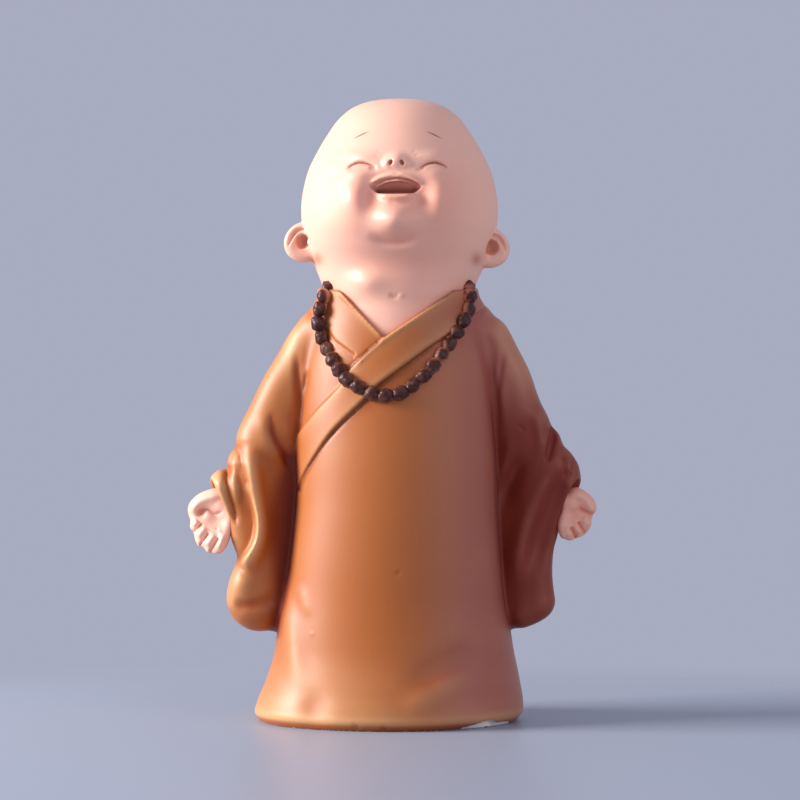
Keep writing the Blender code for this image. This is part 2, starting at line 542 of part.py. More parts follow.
def make_figure():
    points, quads = model_clay().mesh()
    rough = bpy.data.meshes.new("clay")
    rough.from_pydata((points * U).tolist(), [], quads.tolist())
    shape = bpy.data.objects.new("clay", rough)
    bpy.context.scene.collection.objects.link(shape)
    fewer = shape.modifiers.new("fewer", "DECIMATE")
    fewer.ratio = TRIANGLES / (2 * len(quads))
    bpy.context.view_layer.update()
    ready = shape.evaluated_get(bpy.context.evaluated_depsgraph_get())
    figure_mesh = bpy.data.meshes.new_from_object(ready)
    bpy.data.objects.remove(shape)
    stand_flat(figure_mesh)
    figure_mesh.name = "monk_figurine"
    figure_mesh.materials.clear()
    figure_mesh.materials.append(paint())
    figure_mesh.shade_smooth()
    figure = bpy.data.objects.new("monk_figurine", figure_mesh)
    bpy.context.scene.collection.objects.link(figure)
    figure_mesh.set_sharp_from_angle(angle=np.radians(50))


# The underside is one flat face on z = 0.
def stand_flat(mesh):
    body = bmesh.new()
    body.from_mesh(mesh)
    every = body.verts[:] + body.edges[:] + body.faces[:]
    cut = bmesh.ops.bisect_plane(body, geom=every, dist=1e-6, plane_co=(0, 0, 0), plane_no=(0, 0, 1),
                                 clear_inner=True)
    rim = [item for item in cut["geom_cut"] if isinstance(item, bmesh.types.BMEdge)]
    bmesh.ops.contextual_create(body, geom=rim)
    bmesh.ops.recalc_face_normals(body, faces=body.faces)
    body.to_mesh(mesh)
    body.free()


for item in list(bpy.data.objects):
    bpy.data.objects.remove(item)
make_figure()
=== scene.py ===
import math

import bpy
import numpy as np
import openvdb
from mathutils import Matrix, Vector


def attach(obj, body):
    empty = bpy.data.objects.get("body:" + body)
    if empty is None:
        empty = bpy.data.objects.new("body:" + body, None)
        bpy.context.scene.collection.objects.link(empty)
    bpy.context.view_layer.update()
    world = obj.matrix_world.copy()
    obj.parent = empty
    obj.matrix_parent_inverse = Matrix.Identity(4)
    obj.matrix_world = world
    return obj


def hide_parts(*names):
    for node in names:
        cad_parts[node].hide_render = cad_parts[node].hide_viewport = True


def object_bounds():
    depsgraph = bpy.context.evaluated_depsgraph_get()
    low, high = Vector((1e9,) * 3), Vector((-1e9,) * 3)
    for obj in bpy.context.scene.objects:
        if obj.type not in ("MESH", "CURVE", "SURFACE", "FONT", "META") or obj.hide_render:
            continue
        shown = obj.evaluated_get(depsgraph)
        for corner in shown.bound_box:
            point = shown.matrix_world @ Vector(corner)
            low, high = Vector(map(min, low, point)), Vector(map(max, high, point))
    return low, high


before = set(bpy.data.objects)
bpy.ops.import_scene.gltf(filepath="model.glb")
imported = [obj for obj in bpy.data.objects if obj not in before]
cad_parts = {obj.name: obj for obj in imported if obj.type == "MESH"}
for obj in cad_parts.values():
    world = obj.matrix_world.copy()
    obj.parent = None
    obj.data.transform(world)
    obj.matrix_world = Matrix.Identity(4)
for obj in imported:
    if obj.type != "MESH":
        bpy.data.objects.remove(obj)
cadLow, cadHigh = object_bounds()
print("frame loaded")

unit = (cadHigh.z - cadLow.z) / 100  # one hundredth of the height; the forms below are in these


# Tools for modelling in clay: a form is a distance field on a lattice, below zero inside.
def softMin(a, b, blend):
    blend = np.maximum(blend, 0.001)
    overlap = np.maximum(blend - np.abs(a - b), 0)
    return np.minimum(a, b) - overlap * overlap / (4 * blend)


def stepUp(low, high, value):
    t = np.clip((value - low) / (high - low), 0, 1)
    return t * t * (3 - 2 * t)


def spline(points, closed=False, steps=6):
    points = np.array(points, float)
    if closed:
        ring = np.vstack([points[-1:], points, points[:2]])
    else:
        ring = np.vstack([2 * points[:1] - points[1:2], points, 2 * points[-1:] - points[-2:-1]])
    rows = []
    for a, b, c, d in zip(ring, ring[1:], ring[2:], ring[3:]):
        for t in np.arange(steps) / steps:
            bend = 2 * b + (c - a) * t + (2 * a - 5 * b + 4 * c - d) * t**2
            rows.append(0.5 * (bend + (3 * b - a - 3 * c + d) * t**3))
    if not closed:
        rows.append(points[-1])
    return np.array(rows)


def along(z, heights, values):  # an eased curve through the values
    heights = np.array(heights, float)
    values = np.array(values, float)
    slopes = np.gradient(values, heights)
    i = np.clip(np.searchsorted(heights, z) - 1, 0, len(heights) - 2)
    gap = heights[i + 1] - heights[i]
    t = np.clip((z - heights[i]) / gap, 0, 1)
    first = (2 * t**3 - 3 * t**2 + 1) * values[i] + (t**3 - 2 * t**2 + t) * gap * slopes[i]
    second = (3 * t**2 - 2 * t**3) * values[i + 1] + (t**3 - t**2) * gap * slopes[i + 1]
    return (first + second).astype(np.float32)


def lineDistance(x, z, line):
    best = np.full(np.broadcast(x, z).shape, 1e6, np.float32)
    share = np.zeros(best.shape, np.float32)
    count = len(line) - 1
    for i, (a, b) in enumerate(zip(line, line[1:])):
        ab = b - a
        t = np.clip(((x - a[0]) * ab[0] + (z - a[1]) * ab[1]) / max(ab @ ab, 1e-9), 0, 1)
        gap = np.hypot(x - a[0] - t * ab[0], z - a[1] - t * ab[1])
        share = np.where(gap < best, (i + t) / count, share)
        best = np.minimum(gap, best)
    return best, share


def outlineDistance(x, z, line):
    line = np.vstack([line, line[:1]])
    gap = lineDistance(x, z, line)[0]
    inside = np.zeros(gap.shape, bool)
    for a, b in zip(line, line[1:]):
        if a[1] == b[1]:
            continue
        spans = (a[1] > z) != (b[1] > z)
        inside ^= spans & (x < a[0] + (z - a[1]) * (b[0] - a[0]) / (b[1] - a[1]))
    return np.where(inside, -gap, gap)


def fold(x, z, points, width, height, fade=0.25):  # a ridge in the front view, or a valley if height < 0
    gap, share = lineDistance(x, z, spline(points))
    ends = stepUp(0, fade, share) * stepUp(0, fade, 1 - share) if fade else 1
    return height * np.exp(-((gap / width) ** 2)) * ends


def crease(x, z, points, width, depth, fade=0.25):  # a crisp valley with soft shoulders
    gap, share = lineDistance(x, z, spline(points))
    return -depth * np.exp(-gap / width) * stepUp(0, fade, share) * stepUp(0, fade, 1 - share)


def spot(x, z, middleX, middleZ, wide, high):
    return np.exp(-(((x - middleX) / wide) ** 2) - ((z - middleZ) / high) ** 2)


class Clay:
    def __init__(self, low, high, step):
        self.low = np.array(low, float)
        self.step = step
        self.axes = [np.arange(a, b, step, dtype=np.float32) for a, b in zip(low, high)]
        self.depth = np.full([len(a) for a in self.axes], 9, np.float32)

    def window(self, low, high):
        spans = [np.searchsorted(a, [b, c]) for a, b, c in zip(self.axes, low, high)]
        cut = tuple(slice(first, last) for first, last in spans)
        return cut, np.ix_(*[a[s] for a, s in zip(self.axes, cut)])

    def join(self, form, blend=0.0):
        distance, low, high = form
        cut, place = self.window(low, high)
        if min(self.depth[cut].shape) > 1:
            self.depth[cut] = softMin(self.depth[cut], distance(*place), blend)

    def carve(self, form, blend=0.0):
        distance, low, high = form
        cut, place = self.window(low, high)
        if min(self.depth[cut].shape) > 1:
            self.depth[cut] = -softMin(-self.depth[cut], distance(*place), blend)

    def press(self, lines, behind=-1.0, front=-3.0):  # narrow creases, pressed in from the front
        x, y, z = np.ix_(*self.axes)
        weight = stepUp(behind, front, y)
        for points, width, depth, fade in lines:
            low, high = np.min(points, 0) - 3 * width, np.max(points, 0) + 3 * width
            i = slice(*np.searchsorted(self.axes[0], [low[0], high[0]]))
            k = slice(*np.searchsorted(self.axes[2], [low[1], high[1]]))
            self.depth[i, :, k] += fold(x[i], z[:, :, k], points, width, depth, fade) * weight

    def front(self, x, z):
        i, k = (int(round((v - a[0]) / self.step)) for v, a in ((x, self.axes[0]), (z, self.axes[2])))
        column = self.depth[i, :, k]
        j = max(int(np.argmax(column < 0)), 1)
        part = column[j - 1] / (column[j - 1] - column[j])
        return float(self.axes[1][j - 1] + part * self.step)

    def read(self, points):
        return readField(self.depth, self.low, self.step, points)

    def mesh(self):
        grid = openvdb.FloatGrid(3 * self.step)
        grid.copyFromArray(np.clip(self.depth, -3 * self.step, 3 * self.step))
        points, quads = grid.convertToQuads(0.0)
        return points * self.step + self.low, quads


def readField(field, low, step, points):  # between the lattice points
    at = (points - low) / step
    first = np.clip(np.floor(at).astype(int), 0, np.array(field.shape) - 2)
    part = np.clip(at - first, 0, 1)
    total = 0
    for corner in np.ndindex(2, 2, 2):
        weight = np.prod([part[:, a] if c else 1 - part[:, a] for a, c in enumerate(corner)], axis=0)
        total = total + weight * field[tuple(first[:, a] + c for a, c in enumerate(corner))]
    return total


def blurred(field, reach):
    for axis in (0, 1, 2) * 2:
        wide = np.pad(field, [(reach + 1, reach) if a == axis else (0, 0) for a in range(3)], mode="edge")
        total = np.cumsum(wide, axis=axis, dtype=np.float64)
        upper = np.take(total, np.arange(2 * reach + 1, total.shape[axis]), axis=axis)
        lower = np.take(total, np.arange(0, total.shape[axis] - 2 * reach - 1), axis=axis)
        field = ((upper - lower) / (2 * reach + 1)).astype(np.float32)
    return field


def ball(centre, radii, pad=3.0, tilt=0.0):
    radii = np.array(radii, float)
    lean = np.cos(tilt), np.sin(tilt)

    def distance(x, y, z):
        x, z = x - centre[0], z - centre[2]
        u = (x * lean[0] + z * lean[1]) / radii[0] + 1e-4
        v = (y - centre[1]) / radii[1]
        w = (z * lean[0] - x * lean[1]) / radii[2]
        reach = np.sqrt(u * u + v * v + w * w)
        slope = np.sqrt((u / radii[0]) ** 2 + (v / radii[1]) ** 2 + (w / radii[2]) ** 2)
        return reach * (reach - 1) / slope

    size = radii.max() + pad
    return distance, np.array(centre) - size, np.array(centre) + size


def rod(points, radii, pad=3.0):
    points = np.array(points, float)

    def distance(x, y, z):
        best = 1e6
        for a, b, first, last in zip(points, points[1:], radii, radii[1:]):
            ab = b - a
            t = ((x - a[0]) * ab[0] + (y - a[1]) * ab[1] + (z - a[2]) * ab[2]) / (ab @ ab)
            t = np.clip(t, 0, 1)
            gap = (x - a[0] - t * ab[0]) ** 2 + (y - a[1] - t * ab[1]) ** 2
            gap = np.sqrt(gap + (z - a[2] - t * ab[2]) ** 2)
            best = np.minimum(best, gap - first - t * (last - first))
        return best

    size = max(radii) + pad
    return distance, points.min(0) - size, points.max(0) + size


def turned(x, y, z, wide, deep, middleX, middleY):  # its half width, half depth and middle change with z
    field = (x - middleX) ** 2 + ((y - middleY) * wide / deep) ** 2
    reach = np.sqrt(field + 1e-6)
    across = (x - middleX) / reach
    fore = (y - middleY) * (wide / deep) ** 2 / reach
    return (reach - wide) / np.sqrt(across**2 + fore**2 + 1e-6)


def newObject(name, data):
    made = bpy.data.objects.new(name, data)
    bpy.context.scene.collection.objects.link(made)
    return made


# A plain mesh piece at the origin: the shape with its modifiers applied.
def settle(name, shape):
    bpy.context.view_layer.update()
    ready = bpy.data.meshes.new_from_object(shape.evaluated_get(bpy.context.evaluated_depsgraph_get()))
    bpy.data.objects.remove(shape)
    ready.name = name
    print(name, len(ready.polygons), "faces")
    return newObject(name, ready)


def makePiece(name, clay, triangles):
    points, quads = clay.mesh()
    rough = bpy.data.meshes.new(name)
    rough.from_pydata((points * unit).tolist(), [], quads.tolist())
    shape = newObject(name + "_clay", rough)
    if 2 * len(quads) > triangles:
        fewer = shape.modifiers.new("fewer", "DECIMATE")
        fewer.ratio = triangles / (2 * len(quads))
    piece = settle(name, shape)
    piece.data.shade_smooth()
    return piece


def pointsOf(piece):
    points = np.zeros(len(piece.data.vertices) * 3, np.float32)
    piece.data.vertices.foreach_get("co", points)
    return points.reshape(-1, 3) / unit


def store(piece, name, values):
    layer = piece.data.attributes.new(name, "FLOAT", "POINT")
    layer.data.foreach_set("value", np.clip(values, 0, 1).astype(np.float32))


# The robe: one bell with hanging sleeves, and a crossed collar.
robe = {
    "chestWidth": 31.0,
    "hemWidth": 43.2,
    "hemDepth": 33.5,
    "sleeveThickness": 9.0,
    "sleeveMouth": 3.0,
    "collarRaise": 0.7,
    "lattice": 0.25,
    "triangles": 196000,
}
bodyZ = [-4, 0, 1.5, 2.6, 6.4, 11.3, 14.5, 19.3, 27.3, 35.4, 43.4, 51.4, 58, 63, 66.5, 72]
bodyHalf = [20.0, 20.5, 21.4, 21.3, 20.3, 19.1, 18.6, 17.7, 16.8, 16.1, 15.9, 15.5, 14.9, 13.8, 12.9, 12.4]
bodyMid = [-1.5, -1.5, -1.3, -1.15, -0.65, -0.4, -0.4, -0.4, -0.2, 0, 0, 0, 0, 0, 0, 0]
bodyFront = [16.2, 16.6, 17.5, 17.4, 16.5, 15.4, 15.0, 14.6, 14.5, 14.4, 14.0, 13.0, 12.0, 11.2, 10.7, 10.4]
bodyBack = [14.8, 15.0, 16.0, 15.9, 15.0, 14.2, 13.8, 13.2, 12.7, 12.4, 12.1, 12.1, 12.1, 12.0, 11.6, 11.4]
collarV = [(-9.0, 72), (-9.0, 69.2), (-2.0, 61.9), (8.7, 69.0), (8.7, 72)]
overBand = [(8.7, 74), (8.7, 69.0), (-2.0, 61.9), (-6.7, 57.7), (-7.7, 56.7), (-9.0, 54.1), (-12.9, 50.0),
            (-16.0, 46.0), (-18.0, 36.0), (-15.7, 36.8), (-13.7, 41.5), (-10.1, 46.8), (-4.6, 52.4),
            (-2.8, 54.3), (7.9, 62.2), (14.0, 66.5), (14.0, 74)]
underBand = [(-9.0, 74), (-9.0, 69.2), (-2.0, 61.9), (-6.4, 58.0), (-6.7, 59.2), (-9.8, 61.4),
             (-11.2, 63.8), (-14.0, 66), (-14, 74)]


def robeRelief(x, z):
    raised = robe["collarRaise"]
    band = stepUp(0.14, -0.14, outlineDistance(x, z, np.array(overBand)))
    under = stepUp(0.14, -0.14, outlineDistance(x, z, np.array(underBand)))
    fading = stepUp(36, 52, z)
    rise = raised * np.maximum(band * fading, under * 0.5)
    rise = rise - 1.6 * stepUp(0.15, -0.15, outlineDistance(x, z, np.array(collarV)))
    rise = rise + fold(x, z, [(-9.3, 69.0), (-2.1, 61.5)], 0.3, 0.22, 0.1)
    rise = rise + fold(x, z, [(8.9, 68.6), (-2.2, 61.3), (-6.7, 57.2)], 0.3, 0.22, 0.1)
    rise = rise + fold(x, z, [(-18.3, 24), (-17.2, 14), (-15.6, 5)], 1.8, 0.55, 0.4)
    rise = rise + fold(x, z, [(-15.8, 23), (-13.8, 17)], 0.9, 0.15, 0.4)
    rise = rise - 0.55 * spot(x, z, -13.0, 3.4, 2.3, 2.4)
    rise = rise + fold(x, z, [(14, 14), (7.5, 10), (0, 5.5)], 2.6, -0.45, 0.4)
    return rise + fold(x, z, [(12, 9.5), (5.5, 6), (0, 3.5)], 2.0, 0.4, 0.4)


def backRelief(x, z):  # the back hangs in long soft folds
    rise = fold(x, z, [(-8, 50), (-10, 25), (-12, 3)], 2.2, 0.7)
    rise = rise + fold(x, z, [(7, 48), (9.5, 22), (11, 2)], 2.4, 0.7)
    rise = rise + fold(x, z, [(-1, 40), (-1.5, 20), (-2, 2)], 2.2, -0.6)
    return rise + robe["collarRaise"] * stepUp(64.4, 64.7, z)


def robeBlock():
    flare = np.clip((np.array(bodyHalf) - 15.5) / (21.4 - 15.5), 0, 1)
    flare[np.array(bodyZ) > 50] = 0
    chest = robe["chestWidth"] / 2
    hem = robe["hemWidth"] / 2
    half = np.minimum(np.array(bodyHalf) / 15.5, 1) * (chest + flare * (hem - chest))
    deeper = 1 + flare * (robe["hemDepth"] / 33.5 - 1)
    front = np.array(bodyFront) * deeper
    back = np.array(bodyBack) * deeper

    def distance(x, y, z):
        deep = along(z, bodyZ, (front + back) / 2)
        middle = along(z, bodyZ, (back - front) / 2)
        body = turned(x, y, z, along(z, bodyZ, half), deep, along(z, bodyZ, bodyMid), middle)
        body = body - robeRelief(x, z) * stepUp(2, -2, y)
        body = body - backRelief(x, z) * stepUp(2, 6, y)
        top = z - 69.6 - 0.05 * y
        return -softMin(-body, -np.maximum(top, -3 - z), 0.6)

    return distance, (-26, -22, -4), (26, 22, 73)


leftSleeve = [(-13.9, 65.5), (-16.5, 63.2), (-18.4, 59.4), (-21.1, 55.4), (-23.3, 50.8), (-24.9, 47.6),
              (-25.6, 45.4), (-25.3, 43.9), (-26.4, 42.9), (-27.0, 41.6), (-26.9, 40.6), (-28.6, 40.3),
              (-29.8, 39.3), (-30.1, 38.1), (-29.6, 36.5), (-27.9, 33.9), (-27.3, 31.3), (-27.0, 29.3),
              (-26.4, 27.7), (-25.8, 26.0), (-26.5, 23.6), (-27.1, 21.8), (-27.4, 20.3), (-27.3, 18.7),
              (-26.7, 17.1), (-25.6, 15.6), (-23.6, 14.5), (-21.0, 14.2), (-16.0, 14.1), (-11, 20),
              (-9, 40), (-8, 58), (-9.5, 65)]
rightSleeve = [(13.8, 66.4), (15.6, 65.1), (17.5, 63.5), (19.3, 60.1), (21.4, 55.9), (22.7, 51.3),
               (23.9, 48.9), (24.5, 47.1), (26.0, 46.0), (26.8, 44.2), (28.0, 43.0), (29.1, 41.3),
               (29.5, 39.6), (29.6, 38.2), (28.9, 36.2), (27.7, 34.4), (26.8, 32.3), (25.9, 29.2),
               (25.3, 26.9), (25.1, 23.6), (25.3, 21.2), (25.5, 19.6), (25.3, 18.2), (24.6, 17.0),
               (23.3, 16.0), (21.4, 15.1), (19.2, 14.5), (15.0, 14.4), (11, 20), (9, 40), (8, 58),
               (9.5, 65.5)]


def leftFolds(x, z):
    rise = -1.5 * stepUp(-22.4, -16.0, x) * stepUp(50, 36, z)
    ridge = [(-24.0, 46.3), (-23.4, 41.0), (-22.6, 35.7), (-22.0, 31.4), (-22.6, 28.6), (-24.2, 26.2),
             (-25.6, 24.9)]
    crest = along(z, [24, 26.2, 28.6, 31.4, 35.7, 41], [-25.4, -24.1, -22.6, -22.0, -22.6, -23.4])
    steep = (1 - stepUp(crest - 1.1, crest - 0.1, x)) * stepUp(38, 33, z)
    rise = rise + fold(x, z, ridge, 1.5, 1.7, 0.22) * (1 - steep)
    rise = rise - 0.4 * spot(x, z, -24.4, 33.0, 1.4, 5.0)
    rise = rise + fold(x, z, [(-21.4, 50.5), (-21.0, 46.5), (-19.8, 42.5)], 1.3, 0.6, 0.4)
    rise = rise + crease(x, z, [(-20.1, 50.2), (-19.7, 46.3), (-18.3, 43.1), (-16.9, 40.4)], 0.6, 1.4, 0.3)
    rise = rise + fold(x, z, [(-17.6, 49.0), (-17.0, 45.5), (-15.8, 42.0)], 1.2, 0.6, 0.4)
    rise = rise + crease(x, z, [(-25.3, 44.6), (-24.8, 41.5), (-24.2, 39.5), (-23.6, 36.8)], 0.55, 0.6)
    rise = rise + fold(x, z, [(-26.2, 42.9), (-26.1, 40.2), (-25.9, 37.8), (-25.3, 34.6)], 0.7, 0.5, 0.3)
    rise = rise + crease(x, z, [(-26.9, 41.4), (-27.3, 38.9), (-26.8, 36.6), (-26.0, 33.9), (-25.6, 31.0)],
                         0.45, 0.65, 0.2)
    rise = rise + fold(x, z, [(-28.6, 39.6), (-28.3, 37.3), (-27.4, 34.6), (-26.6, 31.8)], 0.6, 0.35, 0.3)
    rise = rise + fold(x, z, [(-26.6, 19.0), (-23.2, 18.9), (-18.4, 20.3)], 1.0, -0.45, 0.3)
    return rise + 0.5 * spot(x, z, -25.0, 22.6, 1.8, 1.8)


def rightFolds(x, z):
    rise = -1.3 * stepUp(21.0, 15.8, x) * stepUp(48, 36, z)
    ridge = [(25.6, 42.6), (23.7, 37.9), (21.8, 33.8), (20.2, 30.0), (19.3, 26.1), (19.0, 20.5)]
    rise = rise + fold(x, z, ridge, 1.7, 1.2, 0.25)
    valley = [(26.9, 41.6), (25.9, 38.3), (24.5, 34.4), (23.2, 30.9), (22.3, 26.8), (22.0, 21.5)]
    rise = rise + fold(x, z, valley, 1.8, -1.5, 0.3)
    hollow = [(21.3, 50.5), (20.9, 45.3), (19.3, 41.0), (17.8, 36.5), (17.0, 32.5)]
    rise = rise + fold(x, z, hollow, 1.6, -1.3, 0.3)
    rise = rise + fold(x, z, [(18.8, 48.5), (17.8, 42.5), (16.6, 37.5)], 1.2, 0.7, 0.4)
    rise = rise + fold(x, z, [(22.9, 50.5), (22.8, 46.5), (23.0, 42.5)], 1.1, 0.6, 0.35)
    rise = rise + crease(x, z, [(25.1, 46.9), (24.9, 44.9), (24.1, 42.0)], 0.5, 0.6, 0.25)
    rise = rise + crease(x, z, [(26.7, 43.2), (26.9, 41.0), (27.1, 38.9)], 0.4, 0.55, 0.25)
    rise = rise + 0.3 * spot(x, z, 27.4, 38.0, 0.6, 0.7)
    return rise + crease(x, z, [(28.2, 43.0), (28.0, 40.8), (27.6, 39.2)], 0.35, 0.35, 0.25)


def sleeveBlock(side):
    line = spline(leftSleeve if side < 0 else rightSleeve, closed=True)
    thick = robe["sleeveThickness"] / 2
    folds = leftFolds if side < 0 else rightFolds

    def distance(x, y, z):
        edge = outlineDistance(x, z, line)
        middle = 1.8 - 0.13 * (side * x - 12)
        deep = thick * along(z, [14, 24, 40, 66], [1.0, 0.97, 0.92, 1.15])
        slab = np.abs(y - middle) - deep
        bend = 0.8 * thick
        outer = np.maximum(edge + bend, 0) ** 2 + np.maximum(slab + bend, 0) ** 2
        sleeve = np.minimum(np.maximum(edge + bend, slab + bend), 0) + np.sqrt(outer) - bend
        sleeve = sleeve - folds(x, z) * stepUp(middle + 1, middle - 2, y)
        behind = fold(x, z, [(side * 19, 52), (side * 21, 38), (side * 22, 20)], 2.0, 0.9)
        return sleeve - behind * stepUp(middle, middle + 3, y)

    low, high = sorted((side * 6, side * 33))
    return distance, (low, -10, 10), (high, 12, 70)


def addSleeve(clay, side):
    bag = Clay(clay.low, [a[-1] + clay.step / 2 for a in clay.axes], clay.step)
    bag.join(sleeveBlock(side))
    arm = [(side * 13.6, 1.8, 57.6), (side * 20.6, 0.4, 45.0), (side * 23.6, -0.4, 41.4)]
    bag.join(rod(arm, [5.2, 4.6, 3.0]), 1.6)
    mouth = robe["sleeveMouth"] / 2
    if side < 0:
        rim = [(-29.8, -1.4, 36.6), (-27.9, -0.8, 32.4), (-26.8, -0.4, 27), (-27.9, -0.2, 20.5)]
    else:
        rim = [(29.7, -2.0, 36.9), (28.0, -0.8, 32.4), (25.9, -0.4, 27), (26.0, -0.2, 20.5)]
    bag.carve(rod(rim, [mouth * 1.5, mouth * 1.4, mouth, mouth * 0.8]), 0.4)
    if side > 0:
        pocket = [(25.1, -1.6, 46.8), (24.8, -3.2, 45.0), (24.1, -4.1, 42.2)]
        bag.carve(rod(pocket, [0.7, 0.8, 0.4]), 0.3)
    blend = along(clay.axes[2], [0, 54, 58, 63, 70], [0.9, 0.9, 1.1, 2.6, 3.0])
    clay.depth = softMin(clay.depth, bag.depth, blend[None, None, :])


# Seams, creases and small scars, as points in the front view, width, depth and fading ends.
robeCreases = [
    ([(7.9, 62.2), (-2.8, 54.3), (-4.6, 52.4), (-10.1, 46.8), (-13.7, 41.5), (-15.3, 38.3), (-15.7, 36.8)],
     0.28, 0.38, 0.05),
    ([(-2.3, 61.6), (-6.9, 57.5), (-7.9, 56.2)], 0.2, 0.3, 0.1),
    ([(-15.8, 60.5), (-15.9, 56.5), (-15.6, 52.0), (-15.7, 47.5)], 0.6, 0.45, 0.4),
    ([(-14.2, 56.6), (-14.5, 54.6), (-14.9, 52.2)], 0.4, 0.25, 0.4),
    ([(15.6, 61.0), (15.3, 56.0), (16.0, 51.5), (16.2, 43.5)], 0.6, 0.45, 0.4),
    ([(17.2, 60.0), (16.6, 56.0), (16.1, 51.5)], 0.5, 0.3, 0.4),
    ([(19.1, 47.9), (19.8, 47.2), (20.5, 46.8)], 0.18, 0.15, 0.2),
    ([(-6.5, 0.9), (-6.1, 0.8)], 0.35, 0.2, 0),
    ([(-2.2, 0.6), (-1.8, 0.5)], 0.35, 0.2, 0),
    ([(0.1, 24.8), (0.3, 24.9)], 0.25, 0.15, 0),
    ([(-13.6, 14.9), (-13.4, 14.8)], 0.25, -0.06, 0),
]


def addChip(clay):  # a flake is missing from the hem, at the front near its right end
    hem = [(10.4, 0.0), (12.0, 0.15), (13.6, 0.5), (14.6, 0.7), (15.5, 0.3), (16.6, 0.25), (17.8, 0.15)]
    hem = [(a, clay.front(a, max(b, 0.25)) - 0.05, b) for a, b in hem]
    clay.carve(rod(hem, [0.3, 0.5, 0.65, 0.6, 0.5, 0.5, 0.3]), 0.08)


robeClay = Clay((-31.5, -19, -1), (31.5, 19, 73), robe["lattice"])
robeClay.join(robeBlock())
addSleeve(robeClay, -1)
addSleeve(robeClay, 1)
robeClay.press(robeCreases)
robeWhole = Clay(robeClay.low, robeClay.low + 1, robeClay.step)
robeWhole.depth = robeClay.depth.copy()
addChip(robeClay)
robeClay.depth = np.maximum(robeClay.depth, -robeClay.axes[2][None, None, :])
print("robe modelled")


# The head, thrown back and laughing, with its neck down into the collar.
head = {
    "width": 31.5,
    "noseWidth": 4.2,
    "mouthWidth": 7.8,
    "eyeGroove": 0.45,
    "earHeight": 76.9,
    "earDrop": 0.9,
    "lattice": 0.17,
    "triangles": 190000,
}
# Half the width by height, how much wider it is than deep, and its middle. Below zero is past the crown.
headZ = [58, 62, 66, 68, 70, 72, 74, 76.8, 79.9, 82.8, 85.7, 88.6, 91.5, 94.2, 97.1, 98.8, 99.5, 100, 102]
headHalf = [12.2, 12.2, 12.0, 12.0, 12.3, 13.1, 14.0, 15.0, 15.6, 15.7, 15.3, 14.5, 13.1, 11.5, 9.3, 6.9,
            4.9, 0, -9.5]
headRound = [1.06, 1.07, 1.09, 1.11, 1.09, 1.08, 1.08, 1.03, 0.975, 0.963, 0.95, 0.935, 0.915, 0.91, 0.92,
             0.93, 0.94, 0.94, 0.94]
headMid = [0.4, 0.4, 0.4, 0.5, 0.9, 1.1, 1.2, 1.3, 1.4, 1.7, 2.1, 2.5, 2.8, 3.0, 3.2, 3.3, 3.3, 3.3, 3.3]


def faceRelief(x, z):
    rise = 0
    for side in (-1, 1):
        rise = rise + 1.45 * spot(x, z, side * 7.0, 83.9, 3.1, 4.4)
        rise = rise - 0.85 * spot(x, z, side * 4.0 + 0.1, 83.9, 1.7, 2.8)
        eye = [(3.3, 88.3), (4.3, 88.9), (5.7, 89.3), (6.9, 89.0), (8.0, 88.2)]
        rise = rise + fold(x, z, [(side * a + 0.15, b) for a, b in eye], 0.24, -head["eyeGroove"], 0.12)
        rise = rise + 0.4 * spot(x, z, side * 5.7 + 0.2, 90.4, 2.4, 0.9)
        rise = rise + 0.35 * spot(x, z, side * 5.7, 87.6, 2.4, 0.9)
        rise = rise + fold(x, z, [(side * 8.2, 87.9), (side * 9.8, 87.3), (side * 11.4, 86.6)], 0.6, -0.12)
        rise = rise + fold(x, z, [(side * 4.4, 88.6), (side * 3.7, 88.2), (side * 2.9, 88.3)], 0.25, -0.2)
        for a, b in ((2.4, 90.7), (2.8, 90.2)):
            rise = rise + fold(x, z, [(side * a, b), (side * (a + 0.7), b + 0.6)], 0.18, -0.05)
    rise = rise + 2.1 * spot(x, z, -0.4, 80.3, 3.2, 2.5)
    underChin = [(-4.8, 78.2), (-2.9, 77.2), (-0.5, 76.8), (2.0, 77.2), (3.4, 78.4)]
    rise = rise + fold(x, z, underChin, 0.8, -0.6, 0.4)
    rise = rise - 0.25 * spot(x, z, 0, 73.8, 9.0, 2.6)
    rise = rise + 0.6 * spot(x, z, 0, 69.6, 8.0, 2.2)
    rise = rise + 0.9 * spot(x, z, -5.0, 70.4, 3.0, 1.8)
    rise = rise + fold(x, z, [(-1.3, 68.7), (-0.4, 68.2), (0.6, 68.5)], 0.35, -0.25, 0.3)
    rise = rise + fold(x, z, [(0.2, 68.3), (0.8, 68.4)], 0.3, 0.12, 0)
    lip = [(-4.3, 85.9), (-2.6, 86.9), (-0.9, 87.3), (0, 87.2), (0.9, 87.3), (2.5, 86.8), (4.0, 85.7)]
    rise = rise + fold(x, z, lip, 0.36, 0.38, 0.1)
    rise = rise + fold(x, z, [(a, b + 0.6) for a, b in lip[:4]], 0.2, -0.08, 0.2)
    rise = rise + fold(x, z, [(-3.4, 84.2), (0, 83.9), (3.0, 84.2)], 0.55, 0.6)
    return rise + fold(x, z, [(-1.6, 83.1), (0.4, 82.8), (2.4, 83.1)], 0.5, -0.18)


def headBlock():
    shares = np.array(headHalf) / 15.65
    insideOf = shares * np.abs(shares) * (head["width"] / 2) ** 2

    def distance(x, y, z):
        fore = (y - along(z, headZ, headMid)) * along(z, headZ, headRound)
        across = x - 0.43 * stepUp(62, 74, z)
        field = across**2 + fore**2 - along(z, headZ, insideOf)
        slopes = np.gradient(field, x[1, 0, 0] - x[0, 0, 0])
        steep = np.sqrt(slopes[0] ** 2 + slopes[1] ** 2 + slopes[2] ** 2)
        return field / np.maximum(steep, 2) - faceRelief(x, z) * stepUp(-1, -5, y)

    return distance, (-22, -22, 58), (22, 24, 102)


